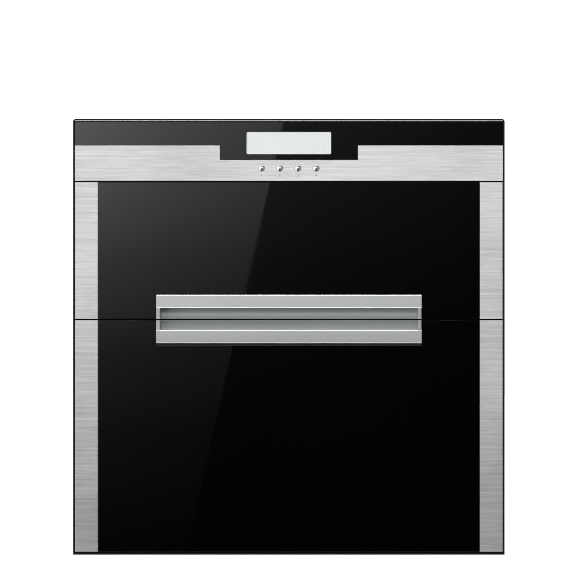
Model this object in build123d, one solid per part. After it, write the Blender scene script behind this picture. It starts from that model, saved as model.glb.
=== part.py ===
"""Built-in two-drawer dish sterilizer cabinet: every piece at real size, one STEP file per piece.

Millimetres. +X is right, -Y is the front that faces the user, +Z is up.
The origin is the bottom centre of the whole cabinet.
"""

from build123d import *
import math
import os

# ---------------------------------------------------------------- driving dimensions
# Front, seen from outside
FRONT_WIDTH = 595.0
OVERALL_HEIGHT = 601.0
FRAME_LIFT = 1.0
BEZEL_BOTTOM = 3.0
BEZEL_SIDE = 2.2
BEZEL_TOP = 1.8
BEZEL_RADIUS = 4.0
BEZEL_SETBACK = 1.0
DOOR_CLEARANCE = 0.4
DOOR_GAP = 2.0
UPPER_DOOR_HEIGHT = 188.2
PANEL_HEIGHT = 83.6

# Depth, front to back
OVERALL_DEPTH = 465.0
HANDLE_PROUD = 4.0
GLASS_THICKNESS = 4.0
DOOR_DEPTH = 22.0
SEAL_GAP = 2.5
FRAME_THICKNESS = 1.5
GLAND_PROUD = 6.0
REAR_SPACE = 59.5

# Carcass and chambers
SHEET = 1.0
FLUTES = 24
CASING_INSET = 20.0
CASING_TOP_GAP = 18.0
FLANGE = 12.0
CASING_FLANGE = 8.0
FOOT_HEIGHT = 8.0
FOOT_RADIUS = 14.0
FOOT_INSET = 45.0
FOOT_SIDES = 12
FOOT_TAPER = 12.0
CHAMBER_INSET = 32.5
DOOR_OVERLAP = 19.0
FLOOR_OVERLAP = 25.6
INSULATION = 15.0
SOFT_CLEARANCE = 0.3

# Fixing holes in the front frame, the cord gland and the vents
FIXING_INSET = 10.0
FIXING_SPACING_Z = 360.0
FIXING_HEIGHT = 300.0
FIXING_RADIUS = 2.5
CABLE_SLOT = (50.0, 15.0)
GLAND_NECK = 17.6
GLAND_BORE = 4.0
GLAND_SEAT = 4.0
GLAND_TAPER = 15.0
GLAND_LENGTH = 15.0
GLAND_INSET = 87.5
GLAND_Z = 110.0
VENT_ROWS = 7
VENT_LENGTH = 60.0
VENT_HEIGHT = 3.0
VENT_PITCH = 11.0

# Drawer fronts
TRIM_WIDTH = 32.0
TRIM_RETURN = 12.0
PANEL_MARGIN = 8.0
PLUG_DEPTH = 5.0
PLUG_INSET = 37.0
PLUG_TAPER = 30.0
GASKET_WIDTH = 10.0
GASKET_OFFSET = 2.0
GLASS_CHAMFER = 0.6
MAGNET_WIDTH = 10.0
MAGNET_HEIGHT = 20.0
MAGNET_DEPTH = 6.0
SENSOR_INSET = 29.9
SWITCH_SIZE = (6.0, 8.0, 24.0)

# Handle, one half on each drawer front
HANDLE_WIDTH = 366.0
HANDLE_END = 5.2
HANDLE_WALL = 2.0
HANDLE_LIP = 3.0
HANDLE_DEPTH = 21.0
RECESS_HEIGHT = 15.0
LOWER_RECESS = 13.4
POCKET_HOLD = 2.0
UPPER_BAND = 18.4
LOWER_BAND = 18.0
BAND_BEVEL = 2.7
EDGE_CHAMFER = 1.0
TROUGH_SWEEP = 5.5

# Control panel
CONTROL_GLASS_HEIGHT = 32.0
TRIM_LINE = 1.4
TRIM_GROOVE = 1.3
NOTCH_WIDTH = 190.0
NOTCH_DEPTH = 20.0
DISPLAY_WIDTH = 116.6
DISPLAY_HEIGHT = 30.6
DISPLAY_RADIUS = 2.0
DISPLAY_DROP = 13.6
DISPLAY_LEDGE = 4.0
WINDOW_CLEARANCE = 0.2
BUTTON_RADIUS = 4.5
BUTTON_DOME = 1.2
BUTTON_PROUD = 0.4
BUTTON_PITCH = 25.0
BUTTON_COUNT = 4
BUTTON_HEIGHT = 17.4
BUTTON_CLEARANCE = 0.3
BUTTON_TRAVEL = 1.0
STEM_SIZE = 4.8
COLLAR_SIZE = 11.0
COLLAR_THICKNESS = 1.0
PLUNGER_SIZE = 3.0
BOSS_SIZE = 7.0
SWITCH_SPACE = 5.0
BOARD_THICKNESS = 1.6
BOARD_SETBACK = 14.5
BOARD_EDGE = 6.0
CABLE_SOCKET = (40.0, 8.0, 12.0)
HOUSING_WALL = 2.0

# Supply board over the upper chamber
POWER_BOARD = (160.0, 100.0)
POWER_BOARD_SETBACK = 82.5
BOARD_LEG = 8.0
TRANSFORMER = (45.0, 40.0, 34.0)
RELAY = (18.0, 25.0, 16.0)
RELAY_COUNT = 2

# Slides and drawers
SLIDE_SHORT = 18.0
SLIDE_THICKNESS = 12.7
SLIDE_HEIGHT = 45.7
RAIL_WALL = 1.2
RAIL_LIP = 1.5
RAIL_STEP = 3.2
RUN_GAP = 0.35
SLIDE_LIFT = 50.0
DRAWER_SHORT = 51.5
DRAWER_WALL_HEIGHT = 50.0
LEDGE = 14.0
DRAWER_TAB = 20.0
RACK_CLEARANCE = 1.5
RIM_WIRE = 5.0
RIM_BEND = 6.0
RACK_WIRE = 3.2
UPPER_BASKET = 70.0
LOWER_BASKET = 62.0
UPPER_CROSS_WIRE_COUNT = 15
LOWER_CROSS_WIRE_COUNT = 11
LONG_WIRE_COUNT = 4
SIDE_POST_COUNT = 5
END_POST_COUNT = 6
PLATE_PITCH = 27.0
PLATE_PINS = 14
PIN_HEIGHT = 58.0
PIN_ROW_GAP = 110.0
TRAY_DEPTH = 12.0
TRAY_RIM = 1.0

# Fan, lamp, ozone cell and heaters
FAN_HOLE = 48.0
FAN_CUP_DEPTH = 26.0
FAN_CUP_WALL = 2.0
FAN_EAR = 12.0
IMPELLER_RADIUS = 45.0
IMPELLER_DEPTH = 18.0
IMPELLER_BLADES = 9
HUB_RADIUS = 8.0
BLADE_THICKNESS = 1.6
BLADE_OFFSET = 5.0
BLADE_LEAN = 22.0
SHAFT_RADIUS = 2.5
SHAFT_CLEARANCE = 0.05
MOTOR_RADIUS = 28.0
MOTOR_LENGTH = 24.0
GRILLE_SIZE = 124.0
GRILLE_RISE = 8.0
GRILLE_TAPER = 25.0
GRILLE_SLOT = (14.0, 4.0)
LAMP_RADIUS = 7.75
LAMP_LENGTH = 288.0
LAMP_STANDOFF = 27.0
LAMP_DROP = 14.0
HOLDER_LENGTH = 18.0
HOLDER_GRIP = 8.0
HOLDER_WALL = 4.0
OZONE_CELL = (75.0, 16.0, 36.0)
OZONE_INSET = 40.0
OZONE_SLOT_COUNT = 4
OZONE_SLOT = 3.0
HEATER_RADIUS = 5.5
HEATER_INSET = 55.0
HEATER_STANDOFF = 22.0
HEATER_LIFTS = (80.0, 185.0)
CAP_LENGTH = 22.0
CAP_SIZE = 18.0
CAP_PROUD = 6.0
GUARD_STANDOFF = 38.0
GUARD_BAR_COUNT = 9
GUARD_OVERHANG = 20.0
GUARD_REACH = 24.0
THERMOSTAT_RADIUS = 8.0
THERMOSTAT_HEIGHT = 7.0
THERMOSTAT_SPACE = 3.0
BLADE_WIDTH = 6.0
BLADE_REACH = 10.0

# ---------------------------------------------------------------- places worked out from them
HALF = FRONT_WIDTH / 2
HANDLE_Y = -OVERALL_DEPTH / 2
GLASS_Y = HANDLE_Y + HANDLE_PROUD
CORE_Y = GLASS_Y + GLASS_THICKNESS
DOOR_BACK = GLASS_Y + DOOR_DEPTH
FRAME_Y = DOOR_BACK + SEAL_GAP
FRAME_BACK = FRAME_Y + FRAME_THICKNESS
REAR_Y = OVERALL_DEPTH / 2 - GLAND_PROUD
CHAMBER_BACK = REAR_Y - REAR_SPACE
LAMP_Y = CHAMBER_BACK - LAMP_STANDOFF

FRONT_TOP = OVERALL_HEIGHT
PANEL_TOP = FRONT_TOP - BEZEL_TOP
PANEL_BOTTOM = PANEL_TOP - PANEL_HEIGHT
UPPER_TOP = PANEL_BOTTOM - DOOR_GAP
UPPER_BOTTOM = UPPER_TOP - UPPER_DOOR_HEIGHT
LOWER_TOP = UPPER_BOTTOM - DOOR_GAP
LOWER_BOTTOM = FRAME_LIFT + BEZEL_BOTTOM + DOOR_CLEARANCE
CASING_TOP = FRONT_TOP - CASING_TOP_GAP

DOOR_HALF = HALF - BEZEL_SIDE - DOOR_CLEARANCE
CASING_HALF = HALF - CASING_INSET
CHAMBER_HALF = CASING_HALF - CHAMBER_INSET
GLASS_HALF = DOOR_HALF - TRIM_WIDTH
HANDLE_HALF = HANDLE_WIDTH / 2
RAIL_HALF = CHAMBER_HALF - SLIDE_THICKNESS
PLUG_HALF = CHAMBER_HALF - PLUG_INSET
GLAND_X = CASING_HALF - GLAND_INSET
HEATER_HALF = CHAMBER_HALF - HEATER_INSET
SENSOR_X = DOOR_HALF - SENSOR_INSET
FLANGE_BACK = FRAME_BACK + SHEET

LOWER_CHAMBER = (LOWER_BOTTOM + FLOOR_OVERLAP, LOWER_TOP - DOOR_OVERLAP)
UPPER_CHAMBER = (UPPER_BOTTOM + DOOR_OVERLAP, UPPER_TOP - DOOR_OVERLAP)
FAN_Z = sum(UPPER_CHAMBER) / 2
HEATER_ZS = [LOWER_CHAMBER[0] + lift for lift in HEATER_LIFTS]

DRAWER_BACK = CHAMBER_BACK - DRAWER_SHORT
RACK_X = RAIL_HALF - SHEET - RACK_CLEARANCE
RACK_Y = (DOOR_BACK + PLUG_DEPTH + RACK_CLEARANCE, DRAWER_BACK - SHEET - RACK_CLEARANCE)

CONTROL_GLASS_TOP = PANEL_TOP - TRIM_LINE - TRIM_GROOVE
CONTROL_GLASS_BOTTOM = CONTROL_GLASS_TOP - CONTROL_GLASS_HEIGHT
NOTCH_BOTTOM = CONTROL_GLASS_BOTTOM - NOTCH_DEPTH
DISPLAY_Z = CONTROL_GLASS_TOP - DISPLAY_DROP - DISPLAY_HEIGHT / 2
BUTTON_Z = PANEL_BOTTOM + BUTTON_HEIGHT
BOARD_FRONT = GLASS_Y + BOARD_SETBACK
STEM_END = BOARD_FRONT - SWITCH_SPACE
BUTTON_XS = [(i - (BUTTON_COUNT - 1) / 2) * BUTTON_PITCH for i in range(BUTTON_COUNT)]

DOORS = {
    "upper": (UPPER_BOTTOM, UPPER_TOP, UPPER_CHAMBER),
    "lower": (LOWER_BOTTOM, LOWER_TOP, LOWER_CHAMBER),
}


# ---------------------------------------------------------------- helpers
def block(x, y, z):
    """Box between the limits x, y and z, each a pair."""
    centre = ((x[0] + x[1]) / 2, (y[0] + y[1]) / 2, (z[0] + z[1]) / 2)
    return Pos(*centre) * Box(x[1] - x[0], y[1] - y[0], z[1] - z[0])


def along_x(points, x):
    """Prism of an outline of (y, z) points between the limits x."""
    face = make_face(Plane.YZ.offset(x[0]) * Polyline(*points, close=True))
    return extrude(face, x[1] - x[0], dir=(1, 0, 0))


def along_y(points, y):
    """Prism of an outline of (x, z) points between the limits y."""
    face = make_face(Plane.XZ.offset(-y[0]) * Polyline(*points, close=True))
    return extrude(face, y[1] - y[0], dir=(0, 1, 0))


def along_z(points, z):
    """Prism of an outline of (x, y) points between the limits z."""
    face = make_face(Plane.XY.offset(z[0]) * Polyline(*points, close=True))
    return extrude(face, z[1] - z[0], dir=(0, 0, 1))


def disc(x, z, radius, y):
    """Round bar along Y, centred on x and z, between the limits y."""
    return extrude(Plane.XZ.offset(-y[0]) * Pos(x, z) * Circle(radius), y[1] - y[0], dir=(0, 1, 0))


def rod(y, z, radius, x):
    """Round bar along X, centred on y and z, between the limits x."""
    return extrude(Plane.YZ.offset(x[0]) * Pos(y, z) * Circle(radius), x[1] - x[0], dir=(1, 0, 0))


def fluted(x, z, radius, y):
    """Bar along Y with many flat sides, centred on x and z, between the limits y."""
    section = Pos(x, z) * RegularPolygon(radius, FLUTES, major_radius=False)
    return extrude(Plane.XZ.offset(-y[0]) * section, y[1] - y[0], dir=(0, 1, 0))


def post_y(x, z, size, y):
    """Square bar along Y, centred on x and z, between the limits y."""
    return block((x - size / 2, x + size / 2), y, (z - size / 2, z + size / 2))


def mirrored(piece):
    """A piece on the right side, with its twin on the left."""
    return [piece, mirror(piece, about=Plane.YZ)]


def shrink(limits, by):
    """A pair of limits, drawn in at both ends."""
    return (limits[0] + by, limits[1] - by)


def ring_y(x_half, z, width, y):
    """Flat rectangular ring of the given width around an opening, between the limits y."""
    outer = block((-x_half - width, x_half + width), y, shrink(z, -width))
    return outer - block((-x_half, x_half), shrink(y, -1), z)


# ---------------------------------------------------------------- front frame and bezel
def front_bezel():
    """Thin black edge round the whole front, in four bars that meet face to face."""
    height = FRONT_TOP - FRAME_LIFT
    outline = Pos(0, FRAME_LIFT + height / 2) * Rectangle(FRONT_WIDTH, height)
    outline = fillet(outline.vertices().group_by(Axis.Y)[-1], BEZEL_RADIUS)
    y = (GLASS_Y + BEZEL_SETBACK, FRAME_Y)
    ring = extrude(Plane.XZ.offset(-y[0]) * outline, y[1] - y[0], dir=(0, 1, 0))
    inner = (FRAME_LIFT + BEZEL_BOTTOM, PANEL_TOP)
    ring -= block((-HALF + BEZEL_SIDE, HALF - BEZEL_SIDE), shrink(y, -1), inner)
    wide = (-HALF, HALF)
    side = (HALF - BEZEL_SIDE, HALF)
    bars = [ring & block(wide, y, (inner[1], FRONT_TOP)), ring & block(wide, y, (FRAME_LIFT, inner[0]))]
    return bars + mirrored(ring & block(side, y, inner))


def front_frame():
    """Black pressed plate that carries both chambers, with fixing holes in its side flanges."""
    y = (FRAME_Y, FRAME_BACK)
    plate = block((-HALF, HALF), y, (FRAME_LIFT, FRONT_TOP))
    corners = plate.edges().filter_by(Axis.Y).group_by(Axis.Z)[-1]
    plate = fillet(corners, BEZEL_RADIUS)
    for chamber in (LOWER_CHAMBER, UPPER_CHAMBER):
        plate -= block((-CHAMBER_HALF, CHAMBER_HALF), shrink(y, -1), chamber)
    for x in (-HALF + FIXING_INSET, HALF - FIXING_INSET):
        for z in (FIXING_HEIGHT - FIXING_SPACING_Z / 2, FIXING_HEIGHT + FIXING_SPACING_Z / 2):
            plate -= disc(x, z, FIXING_RADIUS, shrink(y, -1))
    return plate - cable_slot(shrink(y, -1))


def cable_slot(y):
    """Space of the slot behind the control panel that the wires pass through, between the limits y."""
    low = DISPLAY_Z - DISPLAY_HEIGHT / 2
    return block((-CABLE_SLOT[0] / 2, CABLE_SLOT[0] / 2), y, (low, low + CABLE_SLOT[1]))


# ---------------------------------------------------------------- casing
def casing_side():
    """Right side sheet with a front and a rear flange turned in."""
    x, y = CASING_HALF, (FRAME_BACK, REAR_Y - SHEET)
    inner, tip = x - SHEET, x - CASING_FLANGE
    points = [
        (tip, y[0]), (x, y[0]), (x, y[1]), (tip, y[1]),
        (tip, y[1] - SHEET), (inner, y[1] - SHEET), (inner, y[0] + SHEET), (tip, y[0] + SHEET),
    ]
    return along_z(points, (FOOT_HEIGHT, CASING_TOP - SHEET))


def base_pan():
    """Floor sheet with its edges turned up inside the side sheets, and holes for the foot screws."""
    x, y = CASING_HALF - SHEET, (FLANGE_BACK, REAR_Y - 2 * SHEET)
    pan = block((-x, x), y, (FOOT_HEIGHT, FOOT_HEIGHT + FLANGE))
    return pan - block((-x + SHEET, x - SHEET), shrink(y, SHEET), (FOOT_HEIGHT + SHEET, FRONT_TOP))


def top_cover():
    """Lid sheet that lies on the side sheets, with its long edges turned down inside them."""
    x, y = CASING_HALF, (FRAME_BACK, REAR_Y - SHEET)
    z = CASING_TOP - SHEET
    lid = block((-x, x), y, (z, CASING_TOP))
    edge = (x - SHEET - FLANGE, x - FLANGE)
    for side in mirrored(block(edge, shrink(y, FLANGE), (z - FLANGE, z))):
        lid += side
    return lid


def rear_cover():
    """Back sheet with two groups of vent slots and the hole for the cord gland."""
    y = (REAR_Y - SHEET, REAR_Y)
    cover = block((-CASING_HALF, CASING_HALF), y, (FOOT_HEIGHT, CASING_TOP))
    top = CASING_TOP - 2 * FLANGE
    for row in range(VENT_ROWS):
        z = top - row * VENT_PITCH
        for x in (-CASING_HALF / 2, CASING_HALF / 2):
            slot = (x - VENT_LENGTH / 2, x + VENT_LENGTH / 2)
            cover -= block(slot, shrink(y, -1), (z - VENT_HEIGHT, z))
    return cover - post_y(GLAND_X, GLAND_Z, GLAND_NECK + 2 * WINDOW_CLEARANCE, shrink(y, -1))


def cord_gland():
    """Six-sided gland in the back sheet, with the bore that a supply cord would pass through."""
    tip, nut_front = REAR_Y + GLAND_PROUD, REAR_Y + GLAND_PROUD - GLAND_LENGTH
    hexagon = Pos(GLAND_X, GLAND_Z) * RegularPolygon(GLAND_NECK / 2 + GLAND_SEAT, 6)
    gland = extrude(Plane.XZ.offset(-REAR_Y) * hexagon, GLAND_PROUD, dir=(0, 1, 0), taper=GLAND_TAPER)
    gland += extrude(Plane.XZ.offset(-nut_front) * hexagon, REAR_Y - SHEET - nut_front, dir=(0, 1, 0))
    gland += post_y(GLAND_X, GLAND_Z, GLAND_NECK, (REAR_Y - SHEET, REAR_Y))
    return gland - disc(GLAND_X, GLAND_Z, GLAND_BORE, (nut_front - 1, tip + 1))


def foot_centres():
    """Places of the four feet under the base pan."""
    x = CASING_HALF - FOOT_INSET
    y = (FLANGE_BACK + FOOT_INSET, REAR_Y - FOOT_INSET)
    return [(sx * x, yy) for sx in (-1, 1) for yy in y]


def feet():
    """Four tapered rubber feet with fluted, twelve-sided walls."""
    face = Plane.XY.offset(FOOT_HEIGHT) * RegularPolygon(FOOT_RADIUS, FOOT_SIDES)
    foot = extrude(face, FOOT_HEIGHT, dir=(0, 0, -1), taper=FOOT_TAPER)
    return [Pos(x, y, 0) * foot for x, y in foot_centres()]


# ---------------------------------------------------------------- chambers
def liner(chamber):
    """Stainless box open at the front, with a flange that lies on the back of the front frame."""
    x, y = CHAMBER_HALF + SHEET, (FRAME_BACK, CHAMBER_BACK + SHEET)
    shell = block((-x, x), y, shrink(chamber, -SHEET))
    shell += block((-x - FLANGE, x + FLANGE), (y[0], FLANGE_BACK), shrink(chamber, -SHEET - FLANGE))
    return shell - block((-CHAMBER_HALF, CHAMBER_HALF), (y[0] - 1, CHAMBER_BACK), chamber)


def upper_liner():
    """Upper chamber, with the round fan hole in its rear wall."""
    hole = disc(0, FAN_Z, FAN_HOLE, (CHAMBER_BACK - 1, CHAMBER_BACK + 2 * SHEET))
    return liner(UPPER_CHAMBER) - hole


def insulation():
    """Blanket wrapped round the hot lower chamber, open at the front and round the thermostat."""
    inner_half = CHAMBER_HALF + SHEET + SOFT_CLEARANCE
    inner_z = shrink(LOWER_CHAMBER, -SHEET - SOFT_CLEARANCE)
    back = CHAMBER_BACK + SHEET + SOFT_CLEARANCE
    front = FLANGE_BACK + SHEET + SOFT_CLEARANCE
    outer_half = inner_half + INSULATION
    blanket = block((-outer_half, outer_half), (front, back + INSULATION), shrink(inner_z, -INSULATION))
    blanket -= block((-inner_half, inner_half), (front - 1, back), inner_z)
    depth = (back - 1, back + INSULATION + 1)
    return blanket - fluted(*thermostat_place(), THERMOSTAT_RADIUS + THERMOSTAT_SPACE, depth)


def thermostat_place():
    """Centre, in x and z, of the thermostat behind the lower chamber."""
    return (0, sum(LOWER_CHAMBER) / 2)


def thermostat():
    """Snap-action thermostat on the rear wall of the lower chamber, with its two blades."""
    x, z = thermostat_place()
    y = CHAMBER_BACK + SHEET
    base = y + THERMOSTAT_HEIGHT
    body = fluted(x, z, THERMOSTAT_RADIUS, (y, base))
    blade = (THERMOSTAT_RADIUS / 2 - SHEET, THERMOSTAT_RADIUS / 2)
    width = (z - BLADE_WIDTH / 2, z + BLADE_WIDTH / 2)
    for side in mirrored(block(blade, (base, base + BLADE_REACH), width)):
        body += side
    return body


# ---------------------------------------------------------------- control panel
def control_outline(clearance):
    """Edge between the control glass and the fascia: a wide strip with a notch hanging down."""
    notch = NOTCH_WIDTH / 2 - clearance
    bottom, low = CONTROL_GLASS_BOTTOM + clearance, NOTCH_BOTTOM + clearance
    return [(-DOOR_HALF, bottom), (-notch, bottom), (-notch, low),
            (notch, low), (notch, bottom), (DOOR_HALF, bottom)]


def control_glass():
    """Black glass strip with its notch and the window for the display."""
    y = (GLASS_Y, CORE_Y)
    top = [(DOOR_HALF, CONTROL_GLASS_TOP), (-DOOR_HALF, CONTROL_GLASS_TOP)]
    glass = along_y(control_outline(0) + top, y)
    glass = chamfer(glass.faces().sort_by(Axis.Y)[0].edges(), GLASS_CHAMFER)
    return glass - display_prism(WINDOW_CLEARANCE, shrink(y, -1))


def display_prism(clearance, y):
    """Rounded rectangle of the display, larger by the clearance all round, between the limits y."""
    shape = RectangleRounded(
        DISPLAY_WIDTH + 2 * clearance, DISPLAY_HEIGHT + 2 * clearance, DISPLAY_RADIUS + clearance
    )
    return extrude(Plane.XZ.offset(-y[0]) * Pos(0, DISPLAY_Z) * shape, y[1] - y[0], dir=(0, 1, 0))


def display_window():
    """Pale display cover that fills the window in the control glass."""
    pane = display_prism(0, (GLASS_Y + WINDOW_CLEARANCE, CORE_Y))
    return chamfer(pane.faces().sort_by(Axis.Y)[0].edges(), GLASS_CHAMFER / 2)


def control_fascia():
    """Stainless fascia round the notch, with its edge turned back and four button holes."""
    y = (GLASS_Y, CORE_Y)
    bottom = [(-DOOR_HALF, PANEL_BOTTOM), (DOOR_HALF, PANEL_BOTTOM)]
    plate = along_y(control_outline(-WINDOW_CLEARANCE)[::-1] + bottom, y)
    hollow = [(-DOOR_HALF + SHEET, PANEL_BOTTOM + SHEET), (DOOR_HALF - SHEET, PANEL_BOTTOM + SHEET)]
    notch = NOTCH_WIDTH / 2 + WINDOW_CLEARANCE + SHEET
    top, low = CONTROL_GLASS_BOTTOM - WINDOW_CLEARANCE - SHEET, NOTCH_BOTTOM - WINDOW_CLEARANCE - SHEET
    hollow += [(DOOR_HALF - SHEET, top), (notch, top), (notch, low), (-notch, low), (-notch, top)]
    hollow += [(-DOOR_HALF + SHEET, top)]
    plate -= along_y(hollow, (GLASS_Y + SHEET, CORE_Y + 1))
    for x in BUTTON_XS:
        plate -= disc(x, BUTTON_Z, BUTTON_RADIUS + BUTTON_CLEARANCE, shrink(y, -1))
    return plate


def top_trim():
    """Thin bright strip over the control glass."""
    z = (PANEL_TOP - TRIM_LINE, PANEL_TOP - WINDOW_CLEARANCE)
    return block((-DOOR_HALF, DOOR_HALF), (GLASS_Y, CORE_Y), z)


def control_housing():
    """Black moulded housing behind the control panel: a tray open at the back, with button guides."""
    y, z = (CORE_Y, FRAME_Y), (PANEL_BOTTOM, PANEL_TOP - WINDOW_CLEARANCE)
    wide = (-DOOR_HALF, DOOR_HALF)
    tray = block(wide, y, z)
    tray -= block(shrink(wide, HOUSING_WALL), (y[0] + HOUSING_WALL, y[1] + 1), shrink(z, HOUSING_WALL))
    groove = shrink((CONTROL_GLASS_TOP, CONTROL_GLASS_TOP + TRIM_GROOVE), WINDOW_CLEARANCE)
    tray += block(wide, (CORE_Y - GLASS_THICKNESS / 2, CORE_Y), groove)
    for x in board_boss_xs():
        for zz in board_boss_zs():
            tray += post_y(x, zz, BOSS_SIZE, (y[0] + HOUSING_WALL, BOARD_FRONT))
    for x in BUTTON_XS:
        tray -= post_y(x, BUTTON_Z, STEM_SIZE + 2 * BUTTON_CLEARANCE, shrink(y, -1))
    return tray - display_inner(0, (y[0] - 1, y[0] + HOUSING_WALL + 1))


def display_inner(clearance, y):
    """Space of the light box behind the display, inside the ledge that the window sits on."""
    x = shrink((-DISPLAY_WIDTH / 2, DISPLAY_WIDTH / 2), DISPLAY_LEDGE + clearance)
    z = shrink((DISPLAY_Z - DISPLAY_HEIGHT / 2, DISPLAY_Z + DISPLAY_HEIGHT / 2), DISPLAY_LEDGE + clearance)
    return block(x, y, z)


def board_boss_xs():
    """Places across the control board where it stands on bosses."""
    return shrink((-NOTCH_WIDTH / 2, NOTCH_WIDTH / 2), BOARD_EDGE + DISPLAY_LEDGE / 2)


def board_boss_zs():
    """Heights of the bosses that the control board stands on."""
    return (BUTTON_Z - BOARD_EDGE, DISPLAY_Z + DISPLAY_HEIGHT / 2 - DISPLAY_LEDGE)


def control_board():
    """Circuit board with one tact switch behind each button and the light box of the display."""
    zs = board_boss_zs()
    y = (BOARD_FRONT, BOARD_FRONT + BOARD_THICKNESS)
    board = block((-NOTCH_WIDTH / 2, NOTCH_WIDTH / 2), y, shrink(zs, -BOARD_EDGE))
    plunger = STEM_END + BUTTON_TRAVEL + BUTTON_CLEARANCE
    for x in BUTTON_XS:
        board += post_y(x, BUTTON_Z, 2 * PLUNGER_SIZE, (plunger + 1, BOARD_FRONT))
        board += post_y(x, BUTTON_Z, PLUNGER_SIZE, (plunger, plunger + 1))
    board += display_inner(BUTTON_CLEARANCE, (CORE_Y + BUTTON_CLEARANCE, BOARD_FRONT))
    length, thickness, height = CABLE_SOCKET
    return board + block((-1.5 * length, -length / 2), (y[1], y[1] + thickness), (zs[0], zs[0] + height))


def button(x):
    """Domed metal button with the collar that keeps it behind the fascia and its stem."""
    back = GLASS_Y + SHEET + BUTTON_CLEARANCE
    edge = GLASS_Y - BUTTON_PROUD
    curvature = (BUTTON_RADIUS**2 + BUTTON_DOME**2) / (2 * BUTTON_DOME)
    ball = Pos(x, edge - BUTTON_DOME + curvature, BUTTON_Z) * Sphere(curvature)
    cap = disc(x, BUTTON_Z, BUTTON_RADIUS, (edge, back))
    dome = disc(x, BUTTON_Z, BUTTON_RADIUS, (edge - BUTTON_DOME, edge)) & ball
    collar = Pos(x, BUTTON_Z) * RegularPolygon(COLLAR_SIZE / 2, 8, major_radius=False)
    collar = extrude(Plane.XZ.offset(-back) * collar, COLLAR_THICKNESS, dir=(0, 1, 0))
    return cap + dome + collar + post_y(x, BUTTON_Z, STEM_SIZE, (back, STEM_END))


def power_board():
    """Supply board on four legs over the upper chamber, with its transformer and relays."""
    floor = UPPER_CHAMBER[1] + SHEET
    width, depth = POWER_BOARD
    front = FRAME_BACK + POWER_BOARD_SETBACK
    x, y = (-width / 2, width / 2), (front, front + depth)
    z = (floor + BOARD_LEG, floor + BOARD_LEG + BOARD_THICKNESS)
    board = block(x, y, z)
    for px in shrink(x, BOSS_SIZE):
        for py in shrink(y, BOSS_SIZE):
            leg = BOSS_SIZE / 2
            board += block((px - leg, px + leg), (py - leg, py + leg), (floor, z[0]))
    length, breadth, height = TRANSFORMER
    rear, left = y[0] + BOSS_SIZE * 2, x[0] + BOSS_SIZE * 2
    board += block((left, left + length), (rear, rear + breadth), (z[1], z[1] + height))
    length, breadth, height = RELAY
    for i in range(RELAY_COUNT):
        left = x[1] - BOSS_SIZE * 2 - (i + 1) * length * 4 / 3
        board += block((left, left + length), (rear, rear + breadth), (z[1], z[1] + height))
    return board


# ---------------------------------------------------------------- drawer fronts
def handle_zone(name):
    """Height limits of the handle half on the named drawer front, as a pair."""
    if name == "upper":
        return (UPPER_BOTTOM, UPPER_BOTTOM + RECESS_HEIGHT + UPPER_BAND)
    return (LOWER_TOP - LOWER_RECESS - LOWER_BAND - BAND_BEVEL, LOWER_TOP)


def handle_pocket(name):
    """Height limits of the pocket in the door core that the trough of the handle fills."""
    zone = handle_zone(name)
    if name == "upper":
        return (zone[0], zone[1] - UPPER_BAND / 2 + POCKET_HOLD)
    return (zone[0] + BAND_BEVEL + LOWER_BAND / 2 - POCKET_HOLD, zone[1])


def door_glass(name):
    """Black glass of a drawer front, with bevelled edges and the notch that the handle fills."""
    bottom, top, _ = DOORS[name]
    zone = handle_zone(name)
    notch = HANDLE_HALF + WINDOW_CLEARANCE
    if name == "upper":
        edge = zone[1] + WINDOW_CLEARANCE
        points = [(-GLASS_HALF, top), (-GLASS_HALF, bottom), (-notch, bottom), (-notch, edge),
                  (notch, edge), (notch, bottom), (GLASS_HALF, bottom), (GLASS_HALF, top)]
    else:
        edge = zone[0] - WINDOW_CLEARANCE
        points = [(-GLASS_HALF, bottom), (-GLASS_HALF, top), (-notch, top), (-notch, edge),
                  (notch, edge), (notch, top), (GLASS_HALF, top), (GLASS_HALF, bottom)]
    pane = along_y(points, (GLASS_Y, CORE_Y))
    return chamfer(pane.faces().sort_by(Axis.Y)[0].edges(), GLASS_CHAMFER)


def side_trims(name):
    """Two brushed stainless channels that wrap the left and right edges of a drawer front."""
    bottom, top, _ = DOORS[name]
    x, inner = DOOR_HALF, GLASS_HALF + WINDOW_CLEARANCE
    y = (GLASS_Y, DOOR_BACK - SHEET)
    points = [
        (inner, y[0]), (x, y[0]), (x, y[1]), (x - TRIM_RETURN, y[1]),
        (x - TRIM_RETURN, y[1] - SHEET), (x - SHEET, y[1] - SHEET),
        (x - SHEET, y[0] + SHEET), (inner, y[0] + SHEET),
    ]
    return mirrored(along_z(points, (bottom, top)))


def door_core(name):
    """Black insulated tray between glass and inner panel, with the handle pocket and magnet hole."""
    bottom, top, chamber = DOORS[name]
    back, step = DOOR_BACK - SHEET, DOOR_HALF - SHEET
    shoulder, inner = GLASS_HALF + WINDOW_CLEARANCE, DOOR_HALF - TRIM_RETURN
    points = [
        (-step, GLASS_Y + SHEET), (-shoulder, GLASS_Y + SHEET), (-shoulder, CORE_Y), (shoulder, CORE_Y),
        (shoulder, GLASS_Y + SHEET), (step, GLASS_Y + SHEET), (step, back - SHEET),
        (inner, back - SHEET), (inner, back), (-inner, back), (-inner, back - SHEET), (-step, back - SHEET),
    ]
    core = along_z(points, (bottom, top))
    pocket = handle_pocket(name)
    reach = (pocket[0] - 1, pocket[1]) if name == "upper" else (pocket[0], pocket[1] + 1)
    core -= block((-HANDLE_HALF, HANDLE_HALF), (CORE_Y - 1, HANDLE_Y + HANDLE_DEPTH), reach)
    return core - magnet_block(chamber, (back - MAGNET_DEPTH, back + 1))


def door_magnet(name):
    """Magnet let into the back of the door core, for the door switch."""
    _, _, chamber = DOORS[name]
    back = DOOR_BACK - SHEET
    return magnet_block(chamber, (back - MAGNET_DEPTH, back))


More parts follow.
